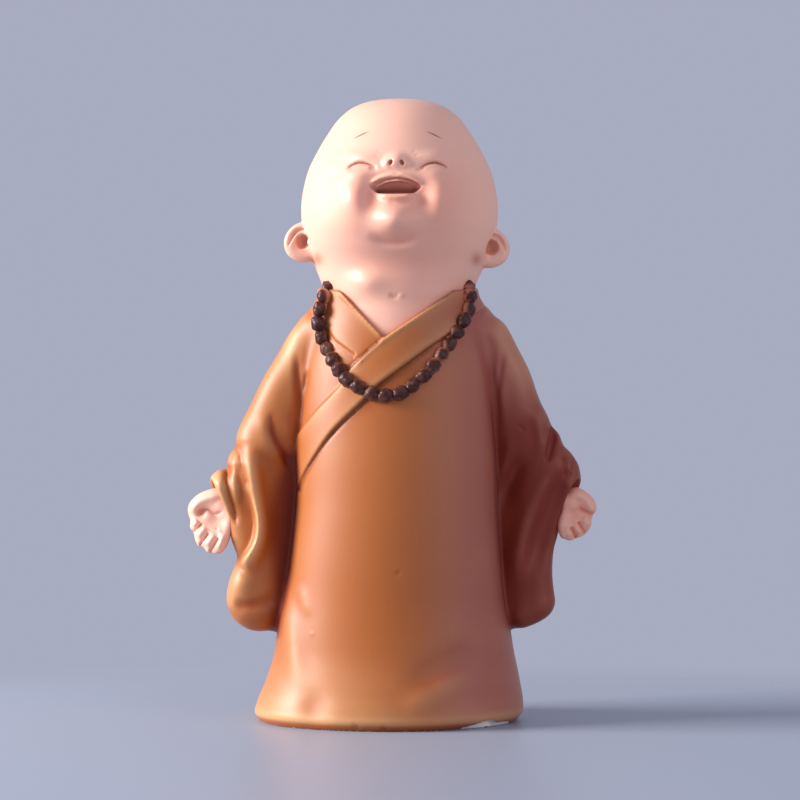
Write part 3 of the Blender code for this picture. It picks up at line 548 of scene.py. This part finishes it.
mouthLine = [(-4.4, 85.7), (-3.2, 86.4), (-1.6, 86.85), (0, 86.95), (1.6, 86.8), (3.0, 86.3), (3.95, 85.5),
             (3.45, 84.9), (2.6, 84.45), (0, 84.35), (-2.7, 84.4), (-3.6, 84.8)]


def mouthHollow(frontY):  # it goes in behind its lips, deepest at its lower edge
    line = spline(np.array(mouthLine) * (head["mouthWidth"] / 8.0, 1), closed=True)

    def distance(x, y, z):
        edge = outlineDistance(x, z, line)
        floor = y - frontY - 1.5 + 0.3 * (z - 84.4)
        return -softMin(-edge, -floor, 0.3)

    return distance, (-6, -20, 82), (6, -6, 89)


def earPlace(side):  # the right ear sits a little lower
    middle = head["width"] / 2 - 0.3
    low = head["earDrop"] if side > 0 else 0
    return lambda x, y, z: (side * (middle + x), y, z + head["earHeight"] - low)


def addEar(clay, side):
    place = earPlace(side)
    clay.join(ball(place(-0.7, -0.6, -0.1), (2.7, 1.5, 2.9), tilt=side * 0.3), 0.9)
    ring = [(-1.0, 2.0), (0.1, 1.9), (1.0, 1.2), (1.5, 0.25), (1.5, -0.7), (1.1, -1.5), (0.3, -2.0),
            (-0.7, -2.2), (-1.6, -2.0)]
    ring = spline(ring, steps=3)
    clay.join(rod([place(a, -0.95, b) for a, b in ring], np.full(len(ring), 1.1)), 0.5)
    rim = spline([(-0.8, 2.55), (0.4, 2.4), (1.45, 1.6), (2.1, 0.4), (2.2, -0.6), (1.6, -1.9)], steps=3)
    clay.join(rod([place(a, -1.6, b) for a, b in rim], np.linspace(0.45, 0.15, len(rim))), 0.25)


def carveEar(clay, side):
    place = earPlace(side)
    fossa = spline([(-0.6, 2.0), (0.3, 1.85), (1.05, 1.25), (1.55, 0.4), (1.85, -0.5)], steps=3)
    sickle = 0.12 + 0.3 * np.sin(np.linspace(0.3, 3.0, len(fossa)))
    clay.carve(rod([place(a, -2.0, b) for a, b in fossa], sickle), 0.06)
    clay.carve(ball(place(-0.3, -2.5, 0.0), (1.3, 1.6, 1.35)), 0.1)
    clay.join(rod([place(-1.8, -2.0, 0.6), place(-1.5, -2.3, -0.1)], [0.5, 0.4]), 0.3)


headClay = Clay((-20.5, -17.5, 58.5), (20.5, 20.5, 101), head["lattice"])
headClay.join(headBlock())
nose = head["noseWidth"] / 2
tip = headClay.front(0, 89.6)
headClay.join(ball((-0.1, tip + 0.7, 89.5), (nose * 0.72, 1.7, 1.1)), 1.1)
for side in (-1, 1):
    headClay.join(ball((side * nose * 0.62 - 0.1, tip + 0.4, 89.1), (0.9, 1.1, 0.85)), 0.5)
for side in (-1, 1):
    addEar(headClay, side)
headWhole = Clay(headClay.low, headClay.low + 1, headClay.step)
headWhole.depth = headClay.depth.copy()
for side in (-1, 1):
    nostril = (side * nose * 0.42 - 0.1, tip - 0.8, 89.3)
    headClay.carve(ball(nostril, (0.34, 0.6, 0.5), tilt=side * 0.5), 0.1)
    carveEar(headClay, side)
gum = headClay.front(0, 85.4)
headClay.carve(mouthHollow(gum), 0.1)
palate = [(-2.9, gum + 1.2, 85.6), (-1.6, gum + 0.75, 86.25), (0, gum + 0.6, 86.5), (1.5, gum + 0.75, 86.3),
          (2.6, gum + 1.2, 85.8)]
headClay.join(rod(palate, [0.16, 0.18, 0.18, 0.18, 0.16]), 0.2)
print("head modelled")


# The hands, palms forward: short and chubby, with grooves between the fingers.
hand = {
    "palmThickness": 3.0,
    "groove": 1.0,
    "lattice": 0.11,
    "triangles": 60000,
}
leftHand = [(-28.8, 37.3), (-31.2, 36.5), (-32.9, 35.2), (-33.6, 33.8), (-33.5, 32.8), (-33.2, 32.1),
            (-33.3, 31.0), (-32.7, 29.9), (-32.4, 28.8), (-31.9, 28.0), (-31.1, 27.8), (-30.5, 27.1),
            (-29.6, 26.9), (-28.8, 26.8), (-28.0, 27.1), (-27.3, 28.1), (-26.8, 29.4), (-26.2, 31.7),
            (-25.6, 34.9), (-27.2, 37.2)]
rightHand = [(28.9, 37.4), (30.2, 36.7), (31.3, 35.7), (31.9, 34.5), (31.8, 33.4), (31.3, 32.3),
             (31.2, 31.2), (30.6, 30.3), (29.9, 29.7), (28.8, 29.3), (27.8, 29.0), (27.0, 29.2),
             (26.2, 29.7), (25.85, 31.7), (26.7, 34.9), (27.6, 37.0)]


def leftPalm(x, z):
    groove = hand["groove"]
    rise = fold(x, z, [(-26.8, 36.8), (-30.7, 35.9), (-32.3, 34.8), (-33.0, 33.0)], 1.0, 0.7)
    thumb = [(-32.3, 32.9), (-31.6, 33.6), (-30.4, 33.9), (-29.0, 33.2), (-27.6, 34.0)]
    rise = rise + crease(x, z, thumb, 0.35, 0.7 * groove)
    rise = rise - 0.7 * spot(x, z, -31.5, 33.4, 0.7, 0.7)
    for line in ([(-33.0, 29.8), (-31.2, 31.8)], [(-31.8, 28.0), (-30.1, 30.3)],
                 [(-30.1, 27.0), (-28.5, 29.6)]):
        rise = rise + crease(x, z, line, 0.24, 0.6 * groove, 0.15)
    for line in ([(-33.0, 31.2), (-31.9, 32.3)], [(-32.3, 29.3), (-30.6, 31.4)],
                 [(-30.8, 27.9), (-29.1, 30.4)], [(-28.8, 27.6), (-27.6, 30.4)]):
        rise = rise + fold(x, z, line, 0.6, 0.45, 0.3)
    rise = rise + 0.12 * spot(x, z, -28.4, 30.6, 0.25, 0.2) - 0.15 * spot(x, z, -28.9, 30.9, 0.2, 0.2)
    return rise - 0.6 * spot(x, z, -28.6, 32.2, 1.7, 1.2)


def rightPalm(x, z):
    groove = hand["groove"]
    rise = fold(x, z, [(27.0, 37.2), (30.3, 35.9), (31.3, 34.4), (31.5, 33.0)], 0.9, 0.6)
    thumb = [(28.0, 34.5), (29.4, 34.1), (30.6, 33.5), (31.6, 32.7)]
    rise = rise + crease(x, z, thumb, 0.35, 0.9 * groove, 0.15)
    for line in ([(29.0, 32.1), (30.2, 30.0)], [(27.8, 31.3), (28.8, 29.4)]):
        rise = rise + crease(x, z, line, 0.28, 0.9 * groove, 0.15)
    for line in ([(29.9, 32.9), (31.0, 31.2)], [(28.4, 32.0), (29.6, 30.0)], [(27.2, 31.4), (27.9, 29.6)]):
        rise = rise + fold(x, z, line, 0.5, 0.35, 0.3)
    return rise - 0.5 * spot(x, z, 28.0, 33.2, 1.4, 1.2)


def handBlock(side):
    line = spline(leftHand if side < 0 else rightHand, closed=True)
    palm = leftPalm if side < 0 else rightPalm
    thick = hand["palmThickness"] / 2

    def distance(x, y, z):
        middle = -0.9 + 0.1 * (z - 33) + 0.3 * (side * x - 28.5)
        edge = outlineDistance(x, z, line)
        slab = np.abs(y - middle) - thick
        bend = 0.85 * thick
        outer = np.maximum(edge + bend, 0) ** 2 + np.maximum(slab + bend, 0) ** 2
        block = np.minimum(np.maximum(edge + bend, slab + bend), 0) + np.sqrt(outer) - bend
        return block - palm(x, z) * stepUp(middle + 0.5, middle - 0.8, y)

    low, high = sorted((side * 23, side * 35))
    return distance, (low, -7, 25), (high, 5, 40)


def handClay(side):
    low, high = sorted((side * 23, side * 34.5))
    clay = Clay((low, -6, 25), (high, 4.5, 40), hand["lattice"])
    clay.join(rod([(side * 28.0, -0.8, 34.8), (side * 24.5, -0.2, 37.2)], [1.6, 2.0]), 0.3)
    clay.join(handBlock(side), 0.3)
    return clay


handClays = {side: handClay(side) for side in (-1, 1)}
print("hands modelled")


# How hollow each place is: the share of clay round it, for the airbrushed wash and the painted shade in
# hollows.
around = Clay((-34, -22, -2), (34, 22, 102), 0.5)
for part in (robeClay, headClay, *handClays.values()):
    cut, place = around.window(part.low, [a[-1] for a in part.axes])
    x, y, z = np.broadcast_arrays(*place)
    points = np.stack([x.ravel(), y.ravel(), z.ravel()], axis=1)
    around.depth[cut] = np.minimum(around.depth[cut], part.read(points).reshape(x.shape))
filled = np.clip(0.5 - around.depth / (2 * around.step), 0, 1).astype(np.float32)
broadFill = blurred(filled, 5)
narrowFill = blurred(filled, 2)


def hollows(points):
    broad = readField(broadFill, around.low, around.step, points) - 0.5
    narrow = readField(narrowFill, around.low, around.step, points) - 0.5
    return broad, narrow


print("hollows measured")


# Materials. A Wire is one socket of a node tree, so that shader maths reads as plain expressions.
class Wire:
    def __init__(self, tree, socket=None):
        self.tree = tree
        self.socket = socket

    def node(self, kind, settings=None, sockets=None, out=0):
        made = self.tree.nodes.new(kind)
        for name, value in (settings or {}).items():
            if name == "stops":
                while len(made.color_ramp.elements) < len(value):
                    made.color_ramp.elements.new(1)
                for stop, (at, colour) in zip(made.color_ramp.elements, value):
                    stop.position = at
                    stop.color = colour
            else:
                setattr(made, name, value)
        for name, value in (sockets or {}).items():
            if isinstance(value, Wire):
                self.tree.links.new(value.socket, made.inputs[name])
            else:
                made.inputs[name].default_value = value
        return Wire(self.tree, made.outputs[out])

    def maths(self, operation, first, second=0.0):
        return self.node("ShaderNodeMath", {"operation": operation}, {0: first, 1: second})

    def __add__(self, other):
        return self.maths("ADD", self, other)

    def __sub__(self, other):
        return self.maths("SUBTRACT", self, other)

    def __rsub__(self, other):
        return self.maths("SUBTRACT", other, self)

    def __mul__(self, other):
        return self.maths("MULTIPLY", self, other)

    def __truediv__(self, other):
        return self.maths("DIVIDE", self, other)

    __radd__ = __add__
    __rmul__ = __mul__

    def parts(self):
        split = self.node("ShaderNodeSeparateXYZ", {}, {0: self}).socket.node
        return [Wire(self.tree, channel) for channel in split.outputs]

    def size(self):
        return self.maths("ABSOLUTE", self)

    def between(self, low, high):  # 0 at low, 1 at high, eased
        return self.node("ShaderNodeMapRange", {"interpolation_type": "SMOOTHSTEP"},
                         {"Value": self, "From Min": low, "From Max": high})

    def mixed(self, first, second):  # the first colour at 0, the second at 1
        return self.node("ShaderNodeMix", {"data_type": "RGBA"}, {0: self, 6: first, 7: second}, 2)

    def towards(self, colour, share):
        return self.node("ShaderNodeMix", {"data_type": "RGBA"}, {0: share, 6: self, 7: colour}, 2)

    def bump(self, distance, strength):
        return self.node("ShaderNodeBump", {}, {"Height": self, "Distance": distance, "Strength": strength})


def linear(*channels):  # from the 0 to 255 values of a colour picker
    shares = [v / 255 for v in channels]
    return tuple(((v + 0.055) / 1.055) ** 2.4 if v > 10 / 255 else v / 12.92 for v in shares) + (1,)


def newPaint(name, roughness):
    material = bpy.data.materials.new(name)
    material.use_nodes = True
    shader = material.node_tree.nodes["Principled BSDF"]
    shader.inputs["Roughness"].default_value = roughness
    wire = Wire(material.node_tree)
    place = wire.node("ShaderNodeTexCoord", out="Object")
    return material, shader, wire, place


def feed(shader, name, wire):
    wire.tree.links.new(wire.socket, shader.inputs[name])


def grain(wire, place, scale, detail=3.0, roughness=0.5):
    return wire.node("ShaderNodeTexNoise", {}, {"Vector": place, "Scale": scale, "Detail": detail,
                                                "Roughness": roughness}, "Fac")


def layer(wire, name):
    return wire.node("ShaderNodeAttribute", {"attribute_name": name}, {}, "Fac")


robePaint = {
    "ochre": linear(174, 89, 14),
    # painted reflection: a mauve tint over the figure's right side, standing in for the bluish sheen that
    # side catches in shade
    "shadedSideReflection": linear(164, 86, 72),
    # lighter paint: wear on ridges, and painted highlight where the key light falls on the left
    "worn": linear(234, 184, 128),
    # airbrushed red-brown wash, also laid where painted shade stands in for shadow
    "wash": linear(124, 34, 9),
    # painted shade in the narrow creases along the collar bands
    "seam": linear(86, 40, 26),
    "bare": linear(236, 232, 226),
    "roughness": 0.52,
    "gloss": 0.55,
    "glossRoughness": 0.45,
    "mirror": 0.35,
    "sheen": 0.12,
    "sheenRoughness": 0.4,
    "grainDepth": 0.00003,
}


def makeRobePaint():
    material, shader, wire, place = newPaint("robe_paint", robePaint["roughness"])
    shader.inputs["Coat Roughness"].default_value = robePaint["glossRoughness"]
    shader.inputs["Specular IOR Level"].default_value = robePaint["mirror"]
    shader.inputs["Sheen Weight"].default_value = robePaint["sheen"]
    shader.inputs["Sheen Roughness"].default_value = robePaint["sheenRoughness"]
    cloud = grain(wire, place, 70, 3)
    fine = grain(wire, place, 1400, 4, 0.6)
    # Over the ochre: a mauve painted reflection on the right side, wear and painted highlight, airbrushed
    # wash with painted shade, painted shade in the collar creases, and bare resin at the chip.
    washedAndShaded = layer(wire, "wash") + (cloud - 0.5) * 0.2
    # painted reflection: the right side, from the middle outwards, turns mauve
    shadedSideReflection = (place.parts()[0] / unit).between(1.0, 14.0) * 0.85
    colour = shadedSideReflection.mixed(robePaint["ochre"], robePaint["shadedSideReflection"])
    colour = colour.towards(robePaint["worn"], layer(wire, "worn") * 0.7)
    colour = colour.towards(robePaint["wash"], washedAndShaded.between(0.0, 1.0) * 0.9)
    colour = colour.towards(robePaint["seam"], layer(wire, "seam"))
    chipped = layer(wire, "chip")
    colour = colour.towards(robePaint["bare"], chipped.between(0.35, 0.6))
    feed(shader, "Base Color", colour)
    rough = robePaint["roughness"] + (fine - 0.5) * 0.12 + (cloud - 0.5) * 0.1 + chipped * 0.3
    feed(shader, "Roughness", rough)
    gloss = (1 - layer(wire, "wash").between(0.1, 0.9) * 0.85) * robePaint["gloss"]
    feed(shader, "Coat Weight", gloss)
    feed(shader, "Normal", fine.bump(robePaint["grainDepth"], 0.5))
    return material


skinPaint = {
    "peach": linear(250, 192, 167),
    # pink blush, also used for painted shade in hollows, under the chin and on the right hand
    "blush": linear(226, 138, 112),
    # brown: the ears' painted hollows, and painted shade in hollows, below the ears and between the fingers
    "wash": linear(184, 98, 60),
    "mouth": linear(200, 128, 106),
    # painted shade deep in the mouth
    "throat": linear(110, 46, 30),
    "stroke": linear(112, 66, 50),
    "roughness": 0.45,
    "grainDepth": 0.000015,
}
strokes = [  # middle, half length and height of a mirrored stroke, its slant, its bend and its half width
    (5.75, 1.5, 93.78, -0.45, -0.03, 0.17),
    (5.75, 2.5, 89.25, -0.03, -0.17, 0.2),
]


def makeSkinPaint(name, face):
    material, shader, wire, place = newPaint(name, skinPaint["roughness"])
    cloud = grain(wire, place, 90, 3)
    fine = grain(wire, place, 1800, 3, 0.6)
    # blush, with painted shade in hollows
    flushedAndShaded = layer(wire, "blush") + (cloud - 0.5) * 0.12
    colour = flushedAndShaded.mixed(skinPaint["peach"], skinPaint["blush"])
    # brown paint in the ears, with painted shade
    colour = colour.towards(skinPaint["wash"], layer(wire, "wash"))
    if face:
        colour = colour.towards(skinPaint["mouth"], layer(wire, "mouth"))
        # painted shade deep in the mouth
        colour = colour.towards(skinPaint["throat"], layer(wire, "throat"))
        right, fore, up = (channel / unit for channel in place.parts())
        across = (right - 0.15).size()
        for middle, half, height, slant, bend, width in strokes:
            run = across - middle
            off = (up - (run * slant + run * run * bend + height)).size()
            taper = 1 - (run / half) * (run / half)
            mark = (taper * width - off).between(0.0, 0.09)
            colour = colour.towards(skinPaint["stroke"], mark * fore.between(0.0, -4.0) * 0.75)
    feed(shader, "Base Color", colour)
    feed(shader, "Roughness", skinPaint["roughness"] + (fine - 0.5) * 0.1 + (cloud - 0.5) * 0.08)
    feed(shader, "Normal", fine.bump(skinPaint["grainDepth"], 0.4))
    return material


beadPaint = {
    "dark": linear(64, 28, 23),
    "edge": linear(124, 78, 68),
    "missed": linear(196, 124, 96),
    "roughness": 0.38,
    "mirror": 0.3,
    "grainDepth": 0.00008,
}


def makeBeadPaint():
    material, shader, wire, place = newPaint("bead_paint", beadPaint["roughness"])
    shader.inputs["Specular IOR Level"].default_value = beadPaint["mirror"]
    fine = grain(wire, place, 1200, 4, 0.6)
    colour = (fine.between(0.45, 0.75) * 0.5).mixed(beadPaint["dark"], beadPaint["edge"])
    missed = layer(wire, "missed") * (grain(wire, place, 500, 3) + 0.1).between(0.45, 0.6)
    colour = colour.towards(beadPaint["missed"], missed)
    feed(shader, "Base Color", colour)
    feed(shader, "Roughness", beadPaint["roughness"] + (fine - 0.5) * 0.25)
    feed(shader, "Normal", fine.bump(beadPaint["grainDepth"], 0.7))
    return material


# Pieces in paint.
# Airbrushed red-brown wash with painted shade: beside the body on the left sleeve, where its ridge shades
# it, nearly all over the right sleeve, which sits in shade, and down valleys and pleats, less at the back.
def sleeveWashAndShade(x, y, z):
    outside = np.abs(x) - along(z, bodyZ, bodyHalf)
    sleeve = stepUp(-1.0, 0.4, outside) * stepUp(13, 14, z)
    edge = along(z, [18.5, 21, 23.6, 27.4, 31.9, 35.1, 38.2, 41.1, 44],
                 [-21.0, -20.9, -21.3, -22.0, -22.4, -21.9, -20.9, -19.0, -17.0])
    left = 0.66 * stepUp(edge - 0.8, edge + 3.4, x) * stepUp(47, 40, z) * (1 - 0.3 * stepUp(20, 16, z))
    left = np.maximum(left, 0.55 * stepUp(20.5, 17, z))
    valleys = fold(x, z, [(21.3, 50), (20.5, 45), (18.2, 39), (17.2, 32), (17.4, 19)], 2.0, 0.4)
    valleys = valleys + fold(x, z, [(26.6, 41.6), (23.9, 33.5), (22.0, 26), (21.6, 20)], 1.8, 0.4)
    right = 0.68 * stepUp(60, 44, z) + valleys
    pleat = [(-20.3, 50.6), (-19.8, 46.3), (-18.3, 43.1), (-16.6, 40.3), (-15.8, 38.0)]
    pleats = fold(x, z, pleat, 0.7, 0.8)
    pleats = pleats + fold(x, z, [(25.0, 47.6), (25.0, 44.9), (24.1, 41.6)], 0.7, 0.9)
    return (sleeve * np.where(x < 0, left, right) + pleats) * (0.45 + 0.55 * stepUp(6, 1, y))


# painted shade: darker down the two narrow creases along the collar bands, on the front
def seamShade(x, y, z):
    shade = 0
    for points, width, depth, fade in robeCreases:
        if depth > 0.2 and width < 0.35:
            shade = shade + fold(x, z, points, width * 1.3, 1.0, fade)
    return shade * stepUp(-4, -6, y)


def finishRobe():
    piece = makePiece("robe", robeClay, robe["triangles"])
    points = pointsOf(piece)
    x, y, z = points.T
    broad, narrow = hollows(points)
    wash = sleeveWashAndShade(x, y, z)
    # Painted shade joins the wash: less on ridges, a dark band along the bottom edge where the hem meets
    # the floor, darker paint over the right of the front, and darker in hollows.
    ridges = np.clip(-narrow * 2.0, 0, 0.2)
    front = stepUp(2, -3, y)
    hem = stepUp(1.1, 0.3, z) * 0.6 + 0.22 * stepUp(4, 15, x) * front * stepUp(66, 50, z)
    hollow = np.clip(broad * 1.4, 0, 0.3) + np.clip(narrow * 1.2, 0, 0.4)
    store(piece, "wash", wash - ridges + hem + hollow)
    # painted highlight: lighter paint on the left shoulder and the lower left of the skirt, where the key
    # light falls; with wear on ridges and rounded places, none in hollows or under the wash and shade
    paintedHighlight = 0.5 * spot(x, z, -17.5, 60.5, 3.0, 4.5) + 0.25 * stepUp(16, 4, z) * stepUp(8, -10, x)
    worn = (paintedHighlight * front - narrow * 3.2 - broad) * (1 - np.clip(wash, 0, 1)) * stepUp(0.12, 0.0, broad)
    store(piece, "worn", worn * stepUp(0.6, 1.3, z))
    store(piece, "seam", seamShade(x, y, z) * 0.5)
    chip = stepUp(0.02, 0.12, -robeWhole.read(points)) * (z < 3) * (y < 0)
    store(piece, "chip", chip * (z > 0.02))
    piece.data.materials.append(makeRobePaint())
    return piece


def finishHead():
    piece = makePiece("head", headClay, head["triangles"])
    points = pointsOf(piece)
    x, y, z = points.T
    broad, narrow = hollows(points)
    front = stepUp(-2, -7, y)
    # Airbrushed blush on the cheeks and round the mouth; the pink under the chin and in hollows is painted
    # shade.
    blush = 0.42 * (spot(x, z, -6.4, 83.8, 4.2, 4.8) + spot(x, z, 6.6, 84.0, 4.2, 4.8))
    blush = blush + 0.3 * spot(x, z, 0, 84, 4.5, 3.5) + 0.3 * spot(x, z, 0, 74, 10, 6)
    ears = stepUp(13.6, 14.6, np.abs(x - 0.4)) * stepUp(1, 0, y)
    flushAndShade = blush * front + np.clip(broad * 1.5, 0, 0.6) + np.clip(narrow * 1.5, 0, 0.3)
    store(piece, "blush", flushAndShade * (1 - 0.85 * ears))
    carved = -headWhole.read(points)
    # The ears' hollows are painted brown; painted shadow below each ear by the jaw, and painted shade in
    # narrow hollows.
    under = 0.7 * spot(np.abs(x), z, 12.7, 74.1, 0.9, 1.0) * stepUp(1, -1, y)
    hollow = np.clip(narrow * 2 - 0.15, 0, 0.35)
    store(piece, "wash", stepUp(0.1, 0.6, carved) * ears * 0.4 + under + hollow)
    lips = front * (np.abs(x) < 6) * (z < 88.2) * (z > 82)
    nostril = stepUp(0.05, 0.3, carved) * front * (z >= 88.2) * (np.abs(x) < 4)
    store(piece, "mouth", stepUp(0.08, 0.3, carved) * lips + nostril)
    # painted shade: the mouth darkens towards its lower edge, where the lower lip shades it, and towards
    # its corners; the nostrils a little
    deep = 0.95 * stepUp(86.1, 84.5, z) + 0.5 * stepUp(2.0, 4.0, np.abs(x + 0.2))
    store(piece, "throat", deep * stepUp(0.3, 0.9, carved) * lips + nostril * 0.12)
    piece.data.materials.append(makeSkinPaint("skin_paint", True))
    return piece


def finishHands():
    paint = makeSkinPaint("skin_paint_hands", False)
    pieces = []
    for side, name in ((-1, "left_hand"), (1, "right_hand")):
        piece = makePiece(name, handClays[side], hand["triangles"])
        narrow = hollows(pointsOf(piece))[1]
        # painted shade: pinker in the hollows between the fingers, and the whole right hand darker as it
        # sits in the body's shadow
        store(piece, "blush", narrow * 1.2 + (0.5 if side > 0 else 0.15))
        # painted shade between the fingers
        store(piece, "wash", np.minimum(narrow * 2.0 - 0.3, 0.35))
        piece.data.materials.append(paint)
        pieces.append(piece)
    return pieces


# The bead string, cast in one with the collar: beads set along its path by Geometry Nodes.
beads = {
    "diameter": 2.8,
    "spacing": 2.3,
    "carving": 0.32,
    "lumps": 0.95,
    "seed": 5,
}


def beadPath():
    front = [(-10.9, 69.6), (-12.0, 67.2), (-12.5, 65.1), (-12.4, 63.2), (-11.7, 61.3), (-10.2, 58.2),
             (-7.6, 54.9), (-3.5, 52.9), (-0.9, 52.8), (1.6, 53.6), (5.4, 56.9), (8.2, 60.6), (10.6, 64.5),
             (11.6, 66.8), (11.3, 69.6)]
    sunk = 0.15 * beads["diameter"]
    nearest = {(a, b): min(robeClay.front(a, b), headClay.front(a, b) if b > 60 else 99) for a, b in front}
    points = [(a, nearest[a, b] - sunk, b) for a, b in front]
    points += [(10.8, 4.5, 70.6), (7.6, 9.6, 70.6), (0, 12.4, 70.2), (-7.6, 9.6, 70.6), (-10.6, 4.5, 70.6)]
    return spline(points, closed=True, steps=10) * unit


def beadTree(paint):
    tree = bpy.data.node_groups.new("beads_along", "GeometryNodeTree")
    for name, kind in (("Geometry", "Geometry"), ("Diameter", "Float"), ("Spacing", "Float"),
                       ("Carving", "Float"), ("Lump size", "Float"), ("Seed", "Int")):
        tree.interface.new_socket(name, in_out="INPUT", socket_type="NodeSocket" + kind)
    tree.interface.new_socket("Geometry", in_out="OUTPUT", socket_type="NodeSocketGeometry")
    given = tree.nodes.new("NodeGroupInput")

    def node(kind, settings=None, sockets=None):
        made = tree.nodes.new(kind)
        for name, value in (settings or {}).items():
            setattr(made, name, value)
        for name, value in (sockets or {}).items():
            if isinstance(value, bpy.types.NodeSocket):
                tree.links.new(value, made.inputs[name])
            else:
                made.inputs[name].default_value = value
        return made

    curve = node("GeometryNodeMeshToCurve", {}, {"Mesh": given.outputs["Geometry"]})
    length = node("GeometryNodeCurveLength", {}, {"Curve": curve.outputs[0]})
    share = node("ShaderNodeMath", {"operation": "DIVIDE"},
                 {0: length.outputs[0], 1: given.outputs["Spacing"]})
    count = node("ShaderNodeMath", {"operation": "ROUND"}, {0: share.outputs[0]})
    stops = node("GeometryNodeResampleCurve", {"mode": "COUNT"},
                 {"Curve": curve.outputs[0], "Count": count.outputs[0]})
    radius = node("ShaderNodeMath", {"operation": "MULTIPLY"}, {0: given.outputs["Diameter"], 1: 0.5})
    bead = node("GeometryNodeMeshIcoSphere", {}, {"Radius": radius.outputs[0], "Subdivisions": 4})
    swell = node("FunctionNodeRandomValue", {"data_type": "FLOAT_VECTOR"},
                 {0: (0.8, 0.94, 0.8), 1: (0.9, 1.06, 0.9), "Seed": given.outputs["Seed"]})
    tangent = node("GeometryNodeInputTangent")
    facing = node("FunctionNodeAlignRotationToVector", {"axis": "Y"}, {"Vector": tangent.outputs[0]})
    placed = node("GeometryNodeInstanceOnPoints", {},
                  {"Points": stops.outputs[0], "Instance": bead.outputs[0], "Rotation": facing.outputs[0],
                   "Scale": swell.outputs[0]})
    real = node("GeometryNodeRealizeInstances", {}, {"Geometry": placed.outputs[0]})
    place = node("GeometryNodeInputPosition")
    pitch = node("ShaderNodeMath", {"operation": "DIVIDE"}, {0: 1.0, 1: given.outputs["Lump size"]})
    lumps = node("ShaderNodeTexVoronoi", {"feature": "SMOOTH_F1"},
                 {"Vector": place.outputs[0], "Scale": pitch.outputs[0], "Smoothness": 0.35})
    fromCentre = node("ShaderNodeMath", {"operation": "SUBTRACT"}, {0: 0.38, 1: lumps.outputs["Distance"]})
    rise = node("ShaderNodeMath", {"operation": "MULTIPLY"},
                {0: fromCentre.outputs[0], 1: given.outputs["Carving"]})
    normal = node("GeometryNodeInputNormal")
    push = node("ShaderNodeVectorMath", {"operation": "SCALE"},
                {0: normal.outputs[0], "Scale": rise.outputs[0]})
    carved = node("GeometryNodeSetPosition", {}, {"Geometry": real.outputs[0], "Offset": push.outputs[0]})
    smooth = node("GeometryNodeSetShadeSmooth", {}, {"Geometry": carved.outputs[0]})
    painted = node("GeometryNodeSetMaterial", {}, {"Geometry": smooth.outputs[0], "Material": paint})
    result = tree.nodes.new("NodeGroupOutput")
    tree.links.new(painted.outputs[0], result.inputs[0])
    return tree


def finishBeads():
    path = beadPath()
    line = bpy.data.meshes.new("bead_path")
    line.from_pydata(path.tolist(), [(i, (i + 1) % len(path)) for i in range(len(path))], [])
    string = newObject("bead_path", line)
    tree = beadTree(makeBeadPaint())
    made = string.modifiers.new("beads", "NODES")
    made.node_group = tree
    sizes = {"Diameter": beads["diameter"] * unit, "Spacing": beads["spacing"] * unit,
             "Carving": beads["carving"] * unit, "Lump size": beads["lumps"] * unit, "Seed": beads["seed"]}
    for item in tree.interface.items_tree:
        if item.in_out == "INPUT" and item.name in sizes:
            made[item.identifier] = sizes[item.name]
    piece = settle("bead_string", string)
    points = pointsOf(piece)
    x, y, z = points.T
    touch = stepUp(1.3, 0.5, robeClay.read(points)) * stepUp(-4, -7, y)
    inner = stepUp(2, 8, x) + stepUp(64, 68, z) * stepUp(-8, -10, x)
    store(piece, "missed", touch * (0.25 + inner))
    return piece


pieces = [finishRobe(), finishHead(), *finishHands(), finishBeads()]
for piece in pieces:
    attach(piece, "root")
    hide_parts("monk_figurine")
print("pieces painted")


# The stage: a pale floor that fades into the backdrop's colour, soft light and the camera.
stage = {
    "floor": linear(156, 163, 178),
    "floorRoughness": 0.42,
    "floorRadius": 0.5,
    "backdrop": linear(168, 172, 192),
    "ambient": 1.0,
    "lightAim": (0, 0, 0.05),
    "cameraAt": (0.0005, -0.6, 0.073),
    "cameraAim": (0.0005, 0, 0.0515),
    "lens": 168,
}


def makeFloor():
    sheet = bpy.data.meshes.new("floor")
    radius = stage["floorRadius"]
    ring = [(radius * math.cos(a), radius * math.sin(a), 0.0) for a in np.arange(64) * math.tau / 64]
    sheet.from_pydata(ring, [], [range(64)])
    ground = newObject("floor", sheet)
    material, shader, wire, place = newPaint("floor_paint", stage["floorRoughness"])
    shader.inputs["Base Color"].default_value = stage["floor"]
    across, away, _ = place.parts()
    reach = (across / 0.19) * (across / 0.19) + ((away + 0.05) / 0.14) * ((away + 0.05) / 0.14)
    clear = wire.node("ShaderNodeBsdfTransparent")
    solid = Wire(wire.tree, shader.outputs[0])
    mixed = wire.node("ShaderNodeMixShader", {}, {0: reach.between(0.45, 1.0), 1: solid, 2: clear})
    out = wire.tree.nodes["Material Output"]
    wire.tree.links.new(mixed.socket, out.inputs["Surface"])
    sheet.materials.append(material)


def aimed(name, data, place, aim):
    holder = newObject(name, data)
    holder.location = place
    holder.rotation_euler = (Vector(aim) - Vector(place)).to_track_quat("-Z", "Y").to_euler()
    return holder


def areaLight(name, place, size, power, colour):
    lamp = bpy.data.lights.new(name, "AREA")
    lamp.size = size
    lamp.energy = power
    lamp.color = colour
    aimed(name, lamp, place, stage["lightAim"])


makeFloor()
areaLight("key", (-0.6, -0.085, 0.27), 0.3, 8.0, (1.0, 0.98, 0.96))
areaLight("fill", (0.5, -0.5, 0.25), 0.5, 1.0, (1.0, 0.88, 0.88))
world = bpy.data.worlds.new("studio")
bpy.context.scene.world = world
world.use_nodes = True
world.node_tree.nodes["Background"].inputs["Color"].default_value = stage["backdrop"]
world.node_tree.nodes["Background"].inputs["Strength"].default_value = stage["ambient"]
bpy.context.scene.view_settings.view_transform = "Standard"

camera = bpy.data.cameras.new("camera")
camera.lens = stage["lens"]
camera.sensor_width = 36
bpy.context.scene.camera = aimed("camera", camera, stage["cameraAt"], stage["cameraAim"])
print("stage set")
